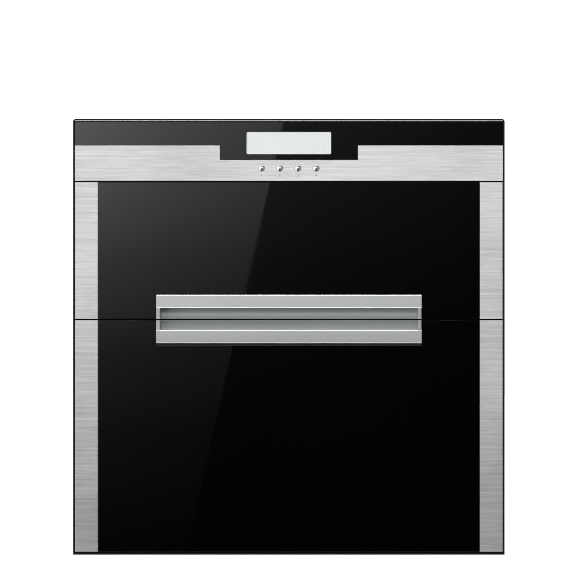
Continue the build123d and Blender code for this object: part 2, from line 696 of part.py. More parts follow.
def magnet_block(chamber, y):
    """Space of the door magnet, level with the middle of a chamber, between the limits y."""
    z = sum(chamber) / 2
    x = (SENSOR_X - MAGNET_WIDTH / 2, SENSOR_X + MAGNET_WIDTH / 2)
    return block(x, y, (z - MAGNET_HEIGHT / 2, z + MAGNET_HEIGHT / 2))


def door_panel(name):
    """Pressed stainless inner panel, with a raised tapered plug that enters the chamber mouth."""
    bottom, top, chamber = DOORS[name]
    x = DOOR_HALF - TRIM_RETURN
    panel = block((-x, x), (DOOR_BACK - SHEET, DOOR_BACK), shrink((bottom, top), PANEL_MARGIN / 4))
    z = shrink(chamber, PANEL_MARGIN)
    face = Pos(0, (z[0] + z[1]) / 2) * Rectangle(2 * PLUG_HALF, z[1] - z[0])
    plug = extrude(Plane.XZ.offset(-DOOR_BACK) * face, PLUG_DEPTH, dir=(0, 1, 0), taper=PLUG_TAPER)
    inside = Pos(0, (z[0] + z[1]) / 2) * Rectangle(2 * (PLUG_HALF - SHEET), z[1] - z[0] - 2 * SHEET)
    hollow = Plane.XZ.offset(SHEET - DOOR_BACK) * inside
    return panel + plug - extrude(hollow, PLUG_DEPTH, dir=(0, 1, 0), taper=PLUG_TAPER)


def door_gasket(name):
    """Soft ring on the inner panel that meets the front frame round the chamber mouth."""
    _, _, chamber = DOORS[name]
    inner = shrink(chamber, -GASKET_OFFSET)
    y = (DOOR_BACK, FRAME_Y - SOFT_CLEARANCE)
    return ring_y(CHAMBER_HALF + GASKET_OFFSET, inner, GASKET_WIDTH, y)


# ---------------------------------------------------------------- handle
def upper_handle_outline():
    """Section (y, z) of the upper half: a flat band with a hooked trough hanging behind and below it."""
    low, high = handle_zone("upper")
    band = low + RECESS_HEIGHT
    pocket = handle_pocket("upper")[1]
    back, wall = HANDLE_Y + HANDLE_DEPTH, HANDLE_Y + HANDLE_DEPTH - HANDLE_WALL
    lip = HANDLE_Y + HANDLE_LIP
    roof = pocket - HANDLE_WALL
    bend = roof - (wall - lip) / 3
    outline = Polyline((lip, bend), (lip, band), (HANDLE_Y, band), (HANDLE_Y, high - EDGE_CHAMFER),
                       (HANDLE_Y + EDGE_CHAMFER, high), (CORE_Y, high), (CORE_Y, pocket), (back, pocket),
                       (back, low), (wall - TROUGH_SWEEP, low))
    heel = wall - TROUGH_SWEEP
    trough = ThreePointArc((heel, low), (wall - TROUGH_SWEEP / 4, (low + bend) / 2), (wall, bend))
    top = ThreePointArc((wall, bend), ((wall + lip) / 2, roof), (lip, bend))
    return outline, [trough, top]


def lower_handle_outline():
    """Section (y, z) of the lower half: a flat band with the trough rising behind it."""
    low, high = handle_zone("lower")
    foot = low + BAND_BEVEL
    band = foot + LOWER_BAND
    pocket = handle_pocket("lower")[0]
    back, wall = HANDLE_Y + HANDLE_DEPTH, HANDLE_Y + HANDLE_DEPTH - HANDLE_WALL
    lip = HANDLE_Y + HANDLE_LIP
    floor = pocket + HANDLE_WALL
    heel = wall - TROUGH_SWEEP
    bend = floor + (heel - lip) / 3
    edge = EDGE_CHAMFER / 2
    outline = Polyline((wall, high), (back, high), (back, pocket), (CORE_Y, pocket), (CORE_Y, low),
                       (GLASS_Y, low), (HANDLE_Y, foot), (HANDLE_Y, band - edge), (HANDLE_Y + edge, band),
                       (lip, band), (lip, bend))
    floor_arc = ThreePointArc((lip, bend), ((lip + heel) / 2, floor), (heel, bend))
    trough = ThreePointArc((heel, bend), (wall - TROUGH_SWEEP / 4, (bend + high) / 2), (wall, high))
    return outline, [floor_arc, trough]


def handle_end_outline(name):
    """Section (y, z) of a closed end of the handle: the same outside, without the trough."""
    low, high = handle_zone(name)
    pocket = handle_pocket(name)
    back = HANDLE_Y + HANDLE_DEPTH
    if name == "upper":
        return [(HANDLE_Y, low), (HANDLE_Y, high - EDGE_CHAMFER), (HANDLE_Y + EDGE_CHAMFER, high),
                (CORE_Y, high), (CORE_Y, pocket[1]), (back, pocket[1]), (back, low)]
    foot = low + BAND_BEVEL
    return [(HANDLE_Y, high), (back, high), (back, pocket[0]), (CORE_Y, pocket[0]), (CORE_Y, low),
            (GLASS_Y, low), (HANDLE_Y, foot)]


def handle(name):
    """Aluminium half handle: one extruded hook section closed by a thick end at each side."""
    outline, arcs = upper_handle_outline() if name == "upper" else lower_handle_outline()
    inside = HANDLE_HALF - HANDLE_END
    face = make_face(Plane.YZ.offset(-inside) * (Curve() + [outline] + arcs))
    bar = extrude(face, 2 * inside, dir=(1, 0, 0))
    for end in mirrored(along_x(handle_end_outline(name), (inside, HANDLE_HALF - WINDOW_CLEARANCE))):
        bar += end
    return bar


# ---------------------------------------------------------------- telescopic slides
def channel(start, tip, half, lip):
    """Outline (u, v) of a C section: web at start, flanges reaching tip, each end turned in by lip."""
    wall = math.copysign(RAIL_WALL, tip - start)
    side = [(tip, half), (start, half)]
    edge = half - RAIL_WALL
    inner = [(start + wall, edge), (tip - wall, edge), (tip - wall, edge - lip), (tip, edge - lip)]
    if lip == 0:
        inner = [(start + wall, edge), (tip, edge)]
    lower = [(u, -v) for u, v in reversed(side)]
    return side + lower + [(u, -v) for u, v in reversed(inner)] + inner


def rail(outline, height):
    """Pair of slide members, left and right, with the outline drawn inwards from the chamber wall."""
    points = [(CHAMBER_HALF - u, height + v) for u, v in outline]
    y = (FRAME_BACK + RACK_CLEARANCE, CHAMBER_BACK - SLIDE_SHORT)
    return mirrored(along_y(points, y))


def slide_height(chamber):
    """Height of the slides' middle line in a chamber."""
    return chamber[0] + SLIDE_LIFT


def outer_rails(chamber):
    """Cabinet members, screwed to the chamber walls."""
    return rail(channel(0, SLIDE_THICKNESS - RAIL_STEP, SLIDE_HEIGHT / 2, RAIL_LIP), slide_height(chamber))


def mid_rails(chamber):
    """Intermediate members, each caught behind the lips of a cabinet member."""
    half = SLIDE_HEIGHT / 2 - RAIL_WALL - RUN_GAP
    start = RAIL_WALL + RUN_GAP
    tip = SLIDE_THICKNESS - RAIL_STEP - RAIL_WALL - RUN_GAP
    return rail(channel(start, tip, half, 0), slide_height(chamber))


def inner_rails(chamber):
    """Drawer members, nested in the intermediate members and screwed to the drawer frame."""
    half = SLIDE_HEIGHT / 2 - 2 * (RAIL_WALL + RUN_GAP)
    tip = 2 * (RAIL_WALL + RUN_GAP) + RUN_GAP
    return rail(channel(SLIDE_THICKNESS, tip, half, 0), slide_height(chamber))


# ---------------------------------------------------------------- drawer frames and racks
def drawer_frame(chamber):
    """Folded stainless frame: side and rear walls, a ledge for the rack, tabs on the inner panel."""
    middle = slide_height(chamber)
    z = (middle - DRAWER_WALL_HEIGHT / 2, middle + DRAWER_WALL_HEIGHT / 2)
    y = (DOOR_BACK, DRAWER_BACK)
    x = RAIL_HALF
    frame = block((-x, x), y, z)
    frame -= block((-x + SHEET, x - SHEET), (y[0] - 1, y[1] - SHEET), (z[0] + SHEET, z[1] + 1))
    frame -= block((-x + LEDGE, x - LEDGE), (y[0] - 1, y[1] - LEDGE), shrink(z, -1))
    tab = (x - SHEET - DRAWER_TAB, x - SHEET)
    for side in mirrored(block(tab, (y[0], y[0] + SHEET), z)):
        frame += side
    return frame


def ledge_top(chamber):
    """Height of the upper face of the ledge."""
    return slide_height(chamber) - DRAWER_WALL_HEIGHT / 2 + SHEET


def wire_section(size):
    """Six-sided wire section, with flats above and below."""
    return RegularPolygon(size / 2, 6, major_radius=False)


def wire_x(y, z, size, x):
    """Straight wire along X between the limits x."""
    return extrude(Plane.YZ.offset(x[0]) * Pos(y, z) * wire_section(size), x[1] - x[0], dir=(1, 0, 0))


def wire_y(x, z, size, y):
    """Straight wire along Y between the limits y."""
    return extrude(Plane.XZ.offset(-y[0]) * Pos(x, z) * wire_section(size), y[1] - y[0], dir=(0, 1, 0))


def wire_z(x, y, size, z):
    """Straight wire along Z between the limits z."""
    return extrude(Plane.XY.offset(z[0]) * Pos(x, y) * wire_section(size), z[1] - z[0], dir=(0, 0, 1))


def rim_corners(x, y, by):
    """Eight corners of a rim whose four bends are cut across, widened by the given distance."""
    cut = RIM_BEND + by * (2 - math.sqrt(2))
    x, y = x + by, shrink(y, -by)
    return [(x, y[0] + cut), (x, y[1] - cut), (x - cut, y[1]), (cut - x, y[1]),
            (-x, y[1] - cut), (-x, y[0] + cut), (cut - x, y[0]), (x - cut, y[0])]


def wire_loop(x, y, z, size):
    """Closed rim wire round the half width x and the limits y, in eight mitred runs that meet."""
    runs = []
    inner, path, outer = [rim_corners(x, y, by) for by in (-size, 0, size)]
    for i in range(len(path)):
        j = (i + 1) % len(path)
        along = (path[j][0] - path[i][0], path[j][1] - path[i][1], 0)
        plane = Plane(origin=(*path[i], z), x_dir=(along[1], -along[0], 0), z_dir=along)
        bar = extrude(plane * wire_section(size), math.hypot(*along) + size, dir=along)
        bar += extrude(plane * wire_section(size), size, dir=(-along[0], -along[1], 0))
        runs.append(bar & along_z([outer[i], outer[j], inner[j], inner[i]], (z - size, z + size)))
    return runs


def spread(limits, count):
    """Evenly spaced places, the first and last a half step inside the limits."""
    step = (limits[1] - limits[0]) / count
    return [limits[0] + (i + 0.5) * step for i in range(count)]


def basket(chamber, height, cross_wires, seat):
    """Wire basket: a foot loop, long and cross floor wires, posts and a rim loop, seated in turn."""
    x, y = RACK_X - RIM_WIRE / 2, shrink(RACK_Y, RIM_WIRE / 2)
    foot = seat + RIM_WIRE / 2
    rim = seat + height - RIM_WIRE / 2
    wires = wire_loop(x, y, foot, RIM_WIRE) + wire_loop(x, y, rim, RIM_WIRE)
    posts = (foot + RIM_WIRE / 2, rim - RIM_WIRE / 2)
    for py in spread(y, SIDE_POST_COUNT):
        wires += [wire_z(side * x, py, RACK_WIRE, posts) for side in (-1, 1)]
    for px in spread((-x, x), END_POST_COUNT):
        wires += [wire_z(px, end, RACK_WIRE, posts) for end in y]
    long_z = foot + RIM_WIRE / 2 + RACK_WIRE / 2
    inner_y = shrink(y, RACK_WIRE / 2)
    for px in spread((-x, x), LONG_WIRE_COUNT):
        wires.append(wire_y(px, long_z, RACK_WIRE, inner_y))
    cross_z = long_z + RACK_WIRE
    for py in floor_wire_ys(y, cross_wires):
        wires.append(wire_x(py, cross_z, RACK_WIRE, shrink((-x, x), RACK_WIRE / 2)))
    return wires, cross_z + RACK_WIRE / 2


def floor_wire_ys(y, count):
    """Places of the cross wires, clear of the posts at the front and rear ends."""
    return spread(shrink(y, 4 * RACK_WIRE), count)


def upper_rack():
    """Open basket for cups and bowls."""
    return basket(UPPER_CHAMBER, UPPER_BASKET, UPPER_CROSS_WIRE_COUNT, ledge_top(UPPER_CHAMBER))[0]


def lower_rack():
    """Basket with two rows of upright pins that hold plates on edge."""
    seat = ledge_top(LOWER_CHAMBER) + TRAY_RIM
    wires, floor = basket(LOWER_CHAMBER, LOWER_BASKET, LOWER_CROSS_WIRE_COUNT, seat)
    for py in pin_row_ys():
        for i in range(PLATE_PINS):
            px = (i - (PLATE_PINS - 1) / 2) * PLATE_PITCH
            wires.append(wire_z(px, py, RACK_WIRE, (floor, floor + PIN_HEIGHT)))
    return wires


def pin_row_ys():
    """Places of the two cross wires that carry the rows of plate pins, in the rear of the basket."""
    places = floor_wire_ys(shrink(RACK_Y, RIM_WIRE / 2), LOWER_CROSS_WIRE_COUNT)
    rear = places[-3]
    front = min(places, key=lambda place: abs(rear - PIN_ROW_GAP - place))
    return (front, rear)


def drip_tray():
    """Shallow tray whose rim lies on the ledge, under the foot loop of the lower rack."""
    top = ledge_top(LOWER_CHAMBER) + TRAY_RIM
    bowl_x = RAIL_HALF - LEDGE - RACK_CLEARANCE
    bowl_y = (RACK_Y[0] + LEDGE, DRAWER_BACK - LEDGE - RACK_CLEARANCE)
    tray = block((-RACK_X, RACK_X), RACK_Y, (top - TRAY_RIM, top))
    tray += block((-bowl_x, bowl_x), bowl_y, (top - TRAY_DEPTH, top - TRAY_RIM))
    inside = (-bowl_x + SHEET, bowl_x - SHEET)
    return tray - block(inside, shrink(bowl_y, SHEET), (top - TRAY_DEPTH + SHEET, top + 1))


# ---------------------------------------------------------------- fan
def fan_housing():
    """Round cup behind the upper chamber that holds the impeller, with a bore for the shaft."""
    y = CHAMBER_BACK + SHEET
    inner = FAN_HOLE + FAN_CUP_WALL
    cup = fluted(0, FAN_Z, inner + FAN_CUP_WALL, (y, y + FAN_CUP_DEPTH))
    ears = (-inner - FAN_EAR, inner + FAN_EAR)
    cup += block(ears, (y, y + FAN_CUP_WALL), (FAN_Z - FAN_EAR, FAN_Z + FAN_EAR))
    cup -= fluted(0, FAN_Z, inner, (y - 1, y + FAN_CUP_DEPTH - FAN_CUP_WALL))
    return cup - disc(0, FAN_Z, SHAFT_RADIUS + SHAFT_CLEARANCE, (y, y + FAN_CUP_DEPTH + 1))


def fan_motor():
    """Motor on the back of the fan cup, with a blind bore round the shaft."""
    y = CHAMBER_BACK + SHEET + FAN_CUP_DEPTH
    body = fluted(0, FAN_Z, MOTOR_RADIUS, (y, y + MOTOR_LENGTH))
    return body - disc(0, FAN_Z, SHAFT_RADIUS + SHAFT_CLEARANCE, (y - 1, y + MOTOR_LENGTH / 2))


def fan_impeller():
    """Impeller on its shaft: a back disc, a hub and backward-leaning blades."""
    back = CHAMBER_BACK + SHEET + FAN_CUP_DEPTH - 2 * FAN_CUP_WALL
    front = back - IMPELLER_DEPTH
    wheel = fluted(0, FAN_Z, IMPELLER_RADIUS, (back - FAN_CUP_WALL, back))
    wheel += fluted(0, FAN_Z, HUB_RADIUS, (front, back))
    reach = (HUB_RADIUS - SHEET, IMPELLER_RADIUS * 0.87)
    blade = block(reach, (front, back - FAN_CUP_WALL), (-BLADE_THICKNESS / 2, BLADE_THICKNESS / 2))
    for i in range(IMPELLER_BLADES):
        turn = 360.0 * i / IMPELLER_BLADES
        leaning = Pos(0, 0, BLADE_OFFSET) * Rot(0, BLADE_LEAN, 0) * blade
        wheel += Pos(0, 0, FAN_Z) * Rot(0, turn, 0) * leaning
    shaft_end = CHAMBER_BACK + SHEET + FAN_CUP_DEPTH + MOTOR_LENGTH / 2 - FAN_CUP_WALL
    return wheel + disc(0, FAN_Z, SHAFT_RADIUS, (front, shaft_end))


def fan_grille():
    """Raised stainless cover over the fan hole, with two rings of slots."""
    half = GRILLE_SIZE / 2
    y = (CHAMBER_BACK - GRILLE_RISE, CHAMBER_BACK)
    square = Pos(0, FAN_Z) * Rectangle(GRILLE_SIZE, GRILLE_SIZE)
    cover = extrude(Plane.XZ.offset(-y[1]) * square, GRILLE_RISE, dir=(0, -1, 0), taper=GRILLE_TAPER)
    inside = Pos(0, FAN_Z) * Rectangle(GRILLE_SIZE - 3 * SHEET, GRILLE_SIZE - 3 * SHEET)
    rise = GRILLE_RISE - SHEET
    cover -= extrude(Plane.XZ.offset(-y[1]) * inside, rise, dir=(0, -1, 0), taper=GRILLE_TAPER)
    slot_half = GRILLE_SLOT[0] / 2
    for radius, count in ((half * 0.34, 6), (half * 0.66, 12)):
        for i in range(count):
            width = (-GRILLE_SLOT[1] / 2, GRILLE_SLOT[1] / 2)
            slot = block((radius - slot_half, radius + slot_half), shrink(y, -1), width)
            cover -= Pos(0, 0, FAN_Z) * Rot(0, 360.0 * i / count, 0) * slot
    return cover


# ---------------------------------------------------------------- lamp, ozone cell, heaters, switches
def lamp_z():
    """Height of the lamp's middle line."""
    return UPPER_CHAMBER[1] - LAMP_DROP


def uv_lamp():
    """Straight germicidal tube, its ends seated in the two holders."""
    return rod(LAMP_Y, lamp_z(), LAMP_RADIUS, (-LAMP_LENGTH / 2, LAMP_LENGTH / 2))


def lamp_holders():
    """Two sockets that hang from the chamber's ceiling and take the ends of the lamp."""
    half = LAMP_LENGTH / 2
    x = (half - HOLDER_GRIP, half - HOLDER_GRIP + HOLDER_LENGTH)
    size = LAMP_RADIUS + HOLDER_WALL
    body = block(x, (LAMP_Y - size, LAMP_Y + size), (lamp_z() - size, UPPER_CHAMBER[1]))
    body -= rod(LAMP_Y, lamp_z(), LAMP_RADIUS + SHAFT_CLEARANCE, (x[0] - 1, half + WINDOW_CLEARANCE))
    return mirrored(body)


def ozone_unit():
    """Ozone cell on the rear wall of the upper chamber, with slots across its front."""
    length, depth, height = OZONE_CELL
    left = -CHAMBER_HALF + OZONE_INSET
    x, z = (left, left + length), (FAN_Z - height / 2, FAN_Z + height / 2)
    y = (CHAMBER_BACK - depth, CHAMBER_BACK)
    cell = block(x, y, z)
    for zz in spread(shrink(z, OZONE_SLOT), OZONE_SLOT_COUNT):
        slot = (zz - OZONE_SLOT / 2, zz + OZONE_SLOT / 2)
        cell -= block(shrink(x, height / 4), (y[0] - 1, y[0] + depth / 4), slot)
    return cell


def heater_tubes():
    """Two quartz infrared tubes across the rear of the lower chamber."""
    y = CHAMBER_BACK - HEATER_STANDOFF
    return [rod(y, z, HEATER_RADIUS, (-HEATER_HALF, HEATER_HALF)) for z in HEATER_ZS]


def heater_caps():
    """Four ceramic ends that stand on the rear wall and hold the tubes."""
    y = CHAMBER_BACK - HEATER_STANDOFF
    x = (HEATER_HALF + CAP_PROUD - CAP_LENGTH, HEATER_HALF + CAP_PROUD)
    caps = []
    for z in HEATER_ZS:
        cap = block(x, (y - CAP_SIZE / 2, y + CAP_SIZE / 2), (z - CAP_SIZE / 2, z + CAP_SIZE / 2))
        foot = (y + CAP_SIZE / 2, CHAMBER_BACK)
        cap += block(shrink(x, CAP_PROUD), foot, (z - CAP_SIZE / 3, z + CAP_SIZE / 3))
        cap -= rod(y, z, HEATER_RADIUS + SHAFT_CLEARANCE, (x[0] - 1, HEATER_HALF + WINDOW_CLEARANCE))
        caps += mirrored(cap)
    return caps


def heater_guard():
    """Wire guard in front of the tubes: two long wires on four legs, with upright bars on them."""
    y = CHAMBER_BACK - GUARD_STANDOFF
    half = HEATER_HALF + GUARD_OVERHANG
    zs = shrink(HEATER_ZS, -GUARD_REACH)
    wires = [wire_x(y, z, RACK_WIRE, (-half, half)) for z in zs]
    legs = (y + RACK_WIRE / 2, CHAMBER_BACK)
    for z in zs:
        wires += [wire_y(side * (half - RACK_WIRE), z, RACK_WIRE, legs) for side in (-1, 1)]
    for x in spread((-half, half), GUARD_BAR_COUNT):
        wires.append(wire_z(x, y - RACK_WIRE, RACK_WIRE, (zs[0] - RACK_WIRE, zs[1] + RACK_WIRE)))
    return wires


def reed_switches():
    """Two door switches on the back of the front frame, one level with each magnet."""
    width, depth, height = SWITCH_SIZE
    x, y = (SENSOR_X - width / 2, SENSOR_X + width / 2), (FRAME_BACK, FRAME_BACK + depth)
    heights = [sum(chamber) / 2 for chamber in (UPPER_CHAMBER, LOWER_CHAMBER)]
    return [block(x, y, (z - height / 2, z + height / 2)) for z in heights]


# ---------------------------------------------------------------- all pieces
def pieces():
    """Every named piece of the cabinet."""
    parts = {
        "front_bezel": front_bezel(),
        "front_frame": front_frame(),
        "base_pan": base_pan(),
        "casing_right": casing_side(),
        "casing_left": mirror(casing_side(), about=Plane.YZ),
        "top_cover": top_cover(),
        "rear_cover": rear_cover(),
        "upper_liner": upper_liner(),
        "lower_liner": liner(LOWER_CHAMBER),
        "insulation": insulation(),
        "feet": feet(),
        "cord_gland": cord_gland(),
        "thermostat": thermostat(),
        "control_glass": control_glass(),
        "control_fascia": control_fascia(),
        "display_window": display_window(),
        "top_trim": top_trim(),
        "control_housing": control_housing(),
        "control_board": control_board(),
        "power_board": power_board(),
        "fan_housing": fan_housing(),
        "fan_motor": fan_motor(),
        "fan_impeller": fan_impeller(),
        "fan_grille": fan_grille(),
        "uv_lamp": uv_lamp(),
        "lamp_holders": lamp_holders(),
        "ozone_unit": ozone_unit(),
        "heater_tubes": heater_tubes(),
        "heater_end_caps": heater_caps(),
        "heater_guard": heater_guard(),
        "reed_switches": reed_switches(),
        "upper_rack": upper_rack(),
        "lower_rack": lower_rack(),
        "drip_tray": drip_tray(),
    }
    for i, x in enumerate(BUTTON_XS, start=1):
        parts[f"button_{i}"] = button(x)
    for name, (_, _, chamber) in DOORS.items():
        parts[f"{name}_glass"] = door_glass(name)
        parts[f"{name}_side_trims"] = side_trims(name)
        parts[f"{name}_door_core"] = door_core(name)
        parts[f"{name}_door_panel"] = door_panel(name)
        parts[f"{name}_gasket"] = door_gasket(name)
        parts[f"{name}_magnet"] = door_magnet(name)
        parts[f"{name}_handle"] = handle(name)
        parts[f"{name}_drawer_frame"] = drawer_frame(chamber)
        parts[f"{name}_outer_rails"] = outer_rails(chamber)
        parts[f"{name}_mid_rails"] = mid_rails(chamber)
        parts[f"{name}_inner_rails"] = inner_rails(chamber)
    return parts


def main():
    """Write one STEP file per piece."""
    os.makedirs("parts", exist_ok=True)
    for name, shape in pieces().items():
        solids = Compound(children=shape) if isinstance(shape, list) else shape
        export_step(solids, f"parts/{name}.step")


main()
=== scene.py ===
"""Looks of a built-in two-drawer dish sterilizer cabinet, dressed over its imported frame.

Sizes are in millimetres until a mesh is finished, in the frame's own axes: +X right, -Y front, +Z up.
"""

import logging
import math
from dataclasses import dataclass, field
from enum import Enum

import bmesh
import bpy
from mathutils import Matrix, Vector

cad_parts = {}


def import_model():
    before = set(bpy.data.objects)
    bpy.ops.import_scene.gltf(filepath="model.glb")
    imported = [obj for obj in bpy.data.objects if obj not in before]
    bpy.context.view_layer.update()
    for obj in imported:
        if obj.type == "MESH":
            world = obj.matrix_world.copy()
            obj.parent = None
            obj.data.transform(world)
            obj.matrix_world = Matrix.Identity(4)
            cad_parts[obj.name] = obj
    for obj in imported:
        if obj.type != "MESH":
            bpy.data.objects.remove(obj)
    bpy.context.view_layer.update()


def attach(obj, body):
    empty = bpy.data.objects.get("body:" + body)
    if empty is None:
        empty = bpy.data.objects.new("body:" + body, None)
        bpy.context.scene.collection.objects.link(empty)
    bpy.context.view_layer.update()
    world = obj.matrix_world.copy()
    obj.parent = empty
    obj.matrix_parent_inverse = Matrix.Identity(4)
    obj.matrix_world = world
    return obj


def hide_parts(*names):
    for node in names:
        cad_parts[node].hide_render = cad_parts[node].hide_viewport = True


LOG = logging.getLogger("sterilizer")
MM = 0.001
Point = tuple[float, float, float]
Flat = tuple[float, float]
Colour = tuple[float, float, float]


SAME_POINT = 0.0005
CAD_SAME_POINT = 0.002
CAD_FLAT_ANGLE = 0.6
FLAT_SMOOTH = 20.0
BACKWARD = (0.0, 1.0, 0.0)


# ---------------------------------------------------------------- shared places of the cabinet
@dataclass(frozen=True)
class Plan:
    """Main places of the cabinet, in millimetres."""

    handle_y: float = -232.5
    glass_y: float = -228.5
    core_y: float = -224.5
    door_back: float = -206.5
    frame_y: float = -204.0
    frame_back: float = -202.5
    chamber_back: float = 167.0
    rear_y: float = 226.5
    half: float = 297.5
    door_half: float = 294.9
    glass_half: float = 262.9
    chamber_half: float = 245.0
    rail_half: float = 232.3
    casing_half: float = 277.5
    casing_top: float = 583.0
    top: float = 601.0
    fan_z: float = 419.5


PLAN = Plan()


class Drawer(Enum):
    """The two drawers: name, bottom and top of the front, bottom and top of the chamber."""

    UPPER = ("upper", 325.4, 513.6, 344.4, 494.6)
    LOWER = ("lower", 4.4, 323.4, 30.0, 304.4)

    @property
    def label(self) -> str:
        """Name used in the frame's node and body names."""
        return self.value[0]

    @property
    def front(self) -> Flat:
        """Height limits of the drawer front."""
        return self.value[1:3]

    @property
    def chamber(self) -> Flat:
        """Height limits of the chamber mouth."""
        return self.value[3:5]

    @property
    def body(self) -> str:
        """Frame body that the drawer's pieces ride on."""
        return f"{self.label}_drawer"

    @property
    def slide_z(self) -> float:
        """Height of the slides' middle line."""
        return self.chamber[0] + 50.0


# ---------------------------------------------------------------- node trees
class Sketch:
    """Short-hand for filling a node tree."""

    def __init__(self, tree: bpy.types.NodeTree) -> None:
        """Keep the tree that is filled.

        Args:
            tree: Shader, world or geometry tree.
        """
        self.tree = tree

    def add(self, kind: str, inputs: dict | None = None, **settings: object) -> bpy.types.Node:
        """Add a node.

        Args:
            kind: Blender's type name of the node.
            inputs: Values or sockets for its inputs, by name or index.
            settings: Properties of the node.

        Returns:
            The new node.
        """
        node = self.tree.nodes.new(kind)
        for key, value in settings.items():
            setattr(node, key, value)
        for key, value in (inputs or {}).items():
            socket = node.inputs[key]
            if isinstance(value, bpy.types.NodeSocket):
                self.tree.links.new(value, socket)
            else:
                socket.default_value = value
        return node

    def math(self, operation: str, a: object, b: object = 0.0, clamp: bool = False) -> bpy.types.NodeSocket:
        """Combine two numbers.

        Args:
            operation: Blender's name of the operation.
            a: First value or socket.
            b: Second value or socket.
            clamp: Keep the result between 0 and 1.

        Returns:
            Socket of the result.
        """
        return self.add("ShaderNodeMath", {0: a, 1: b}, operation=operation, use_clamp=clamp).outputs[0]

    def spread(self, value: object, source: Flat, target: Flat,
               smooth: bool = False) -> bpy.types.NodeSocket:
        """Map a range of numbers onto another.

        Args:
            value: Socket to map.
            source: Lowest and highest value taken in.
            target: Values that these become.
            smooth: Ease in and out.

        Returns:
            Socket of the result.
        """
        kind = "SMOOTHSTEP" if smooth else "LINEAR"
        inputs = {"Value": value, 1: source[0], 2: source[1], 3: target[0], 4: target[1]}
        return self.add("ShaderNodeMapRange", inputs, interpolation_type=kind, clamp=True).outputs[0]

    def blend(self, factor: object, a: object, b: object) -> bpy.types.NodeSocket:
        """Mix two colours.

        Args:
            factor: Share of the second colour.
            a: First colour or socket.
            b: Second colour or socket.

        Returns:
            Socket of the mixed colour.
        """
        node = self.add("ShaderNodeMix", data_type="RGBA")
        for index, value in ((0, factor), (6, a), (7, b)):
            socket = node.inputs[index]
            if isinstance(value, bpy.types.NodeSocket):
                self.tree.links.new(value, socket)
            else:
                socket.default_value = (*value, 1.0) if isinstance(value, tuple) else value
        return node.outputs[2]

    def layer(self, a: object, b: object, share: float) -> bpy.types.NodeSocket:
        """Add two patterns, the first by its share and the second by what is left."""
        return self.math("ADD", self.math("MULTIPLY", a, share), self.math("MULTIPLY", b, 1.0 - share))

    def fade(self, a: object, b: object, share: object) -> bpy.types.NodeSocket:
        """Go from a to b as a share, itself a socket, goes from 0 to 1."""
        rest = self.math("MULTIPLY", a, self.math("SUBTRACT", 1.0, share))
        return self.math("ADD", rest, self.math("MULTIPLY", share, b))

    def ease(self, value: object, source: Flat, target: Flat = (0.0, 1.0)) -> bpy.types.NodeSocket:
        """Map a range onto another, easing in and out."""
        return self.spread(value, source, target, True)

    def noise(self, vector: object, scale: float, detail: float = 3.0,
              rough: float = 0.55) -> bpy.types.NodeSocket:
        """Add a noise texture.

        Args:
            vector: Socket of the coordinates.
            scale: Scale of the noise.
            detail: Number of finer layers.
            rough: Strength of the finer layers.

        Returns:
            Socket of its value.
        """
        inputs = {"Vector": vector, "Scale": scale, "Detail": detail, "Roughness": rough}
        return self.add("ShaderNodeTexNoise", inputs).outputs["Fac"]


# ---------------------------------------------------------------- finishes
@dataclass(frozen=True)
class Finish:
    """A solid finish whose colour, shine and relief follow a fine noise and a broad one."""

    name: str
    colour: Colour
    tint: Colour
    roughness: Flat = (0.35, 0.5)
    metallic: float = 0.0
    grain: Point = (900.0, 900.0, 900.0)
    relief: float = 0.00002
    strength: float = 0.4
    broad: float = 14.0
    coat: float = 0.0
    specular: float = 0.5
    # Strength of a painted glow: the surface gives light in its tint though it is no lamp
    glow: float = 0.0
    contrast: float = 0.18
    fine_share: float = 0.72

    def pattern(self, sketch: Sketch, coords: bpy.types.NodeSocket) -> bpy.types.NodeSocket:
        """Fine pattern of the finish, as a number from 0 to 1.

        Args:
            sketch: Tree being filled.
            coords: Object coordinates, in metres.

        Returns:
            Socket of the pattern.
        """
        stretched = sketch.add("ShaderNodeMapping", {"Vector": coords, "Scale": self.grain})
        return sketch.noise(stretched.outputs[0], 1.0)

    def shade(self, sketch: Sketch, shader: bpy.types.Node, fine: bpy.types.NodeSocket,
              wide: bpy.types.NodeSocket) -> None:
        """Join the patterns to the shader.

        Args:
            sketch: Tree being filled.
            shader: Surface shader.
            fine: Fine pattern.
            wide: Broad pattern.
        """
        mixed = sketch.layer(fine, wide, self.fine_share)
        limits = (0.5 - self.contrast, 0.5 + self.contrast)
        colour = sketch.blend(sketch.spread(mixed, limits, (0.0, 1.0)), self.colour, self.tint)
        sketch.tree.links.new(colour, shader.inputs["Base Color"])
        shine = sketch.spread(mixed, (0.25, 0.75), self.roughness)
        sketch.tree.links.new(shine, shader.inputs["Roughness"])
        bump = sketch.add("ShaderNodeBump", {"Height": fine, "Strength": self.strength,
                                             "Distance": self.relief})
        sketch.tree.links.new(bump.outputs[0], shader.inputs["Normal"])

    def material(self) -> bpy.types.Material:
        """The finish as a material, made once.

        Returns:
            The material.
        """
        found = bpy.data.materials.get(f"look_{self.name}")
        if found:
            return found
        made = bpy.data.materials.new(f"look_{self.name}")
        made.use_nodes = True
        sketch = Sketch(made.node_tree)
        shader = made.node_tree.nodes["Principled BSDF"]
        shader.inputs["Metallic"].default_value = self.metallic
        shader.inputs["Coat Weight"].default_value = self.coat
        shader.inputs["Coat Roughness"].default_value = 0.02
        shader.inputs["Specular IOR Level"].default_value = self.specular
        # Painted glow: emission in the tint's colour, strong only on the display pane
        shader.inputs["Emission Color"].default_value = (*self.tint, 1.0)
        shader.inputs["Emission Strength"].default_value = self.glow
        coords = sketch.add("ShaderNodeTexCoord").outputs["Object"]
        fine = self.pattern(sketch, coords)
        wide = sketch.noise(coords, self.broad, 2.0)
        self.shade(sketch, shader, fine, wide)
        made.diffuse_color = (*self.colour, 1.0)
        return made


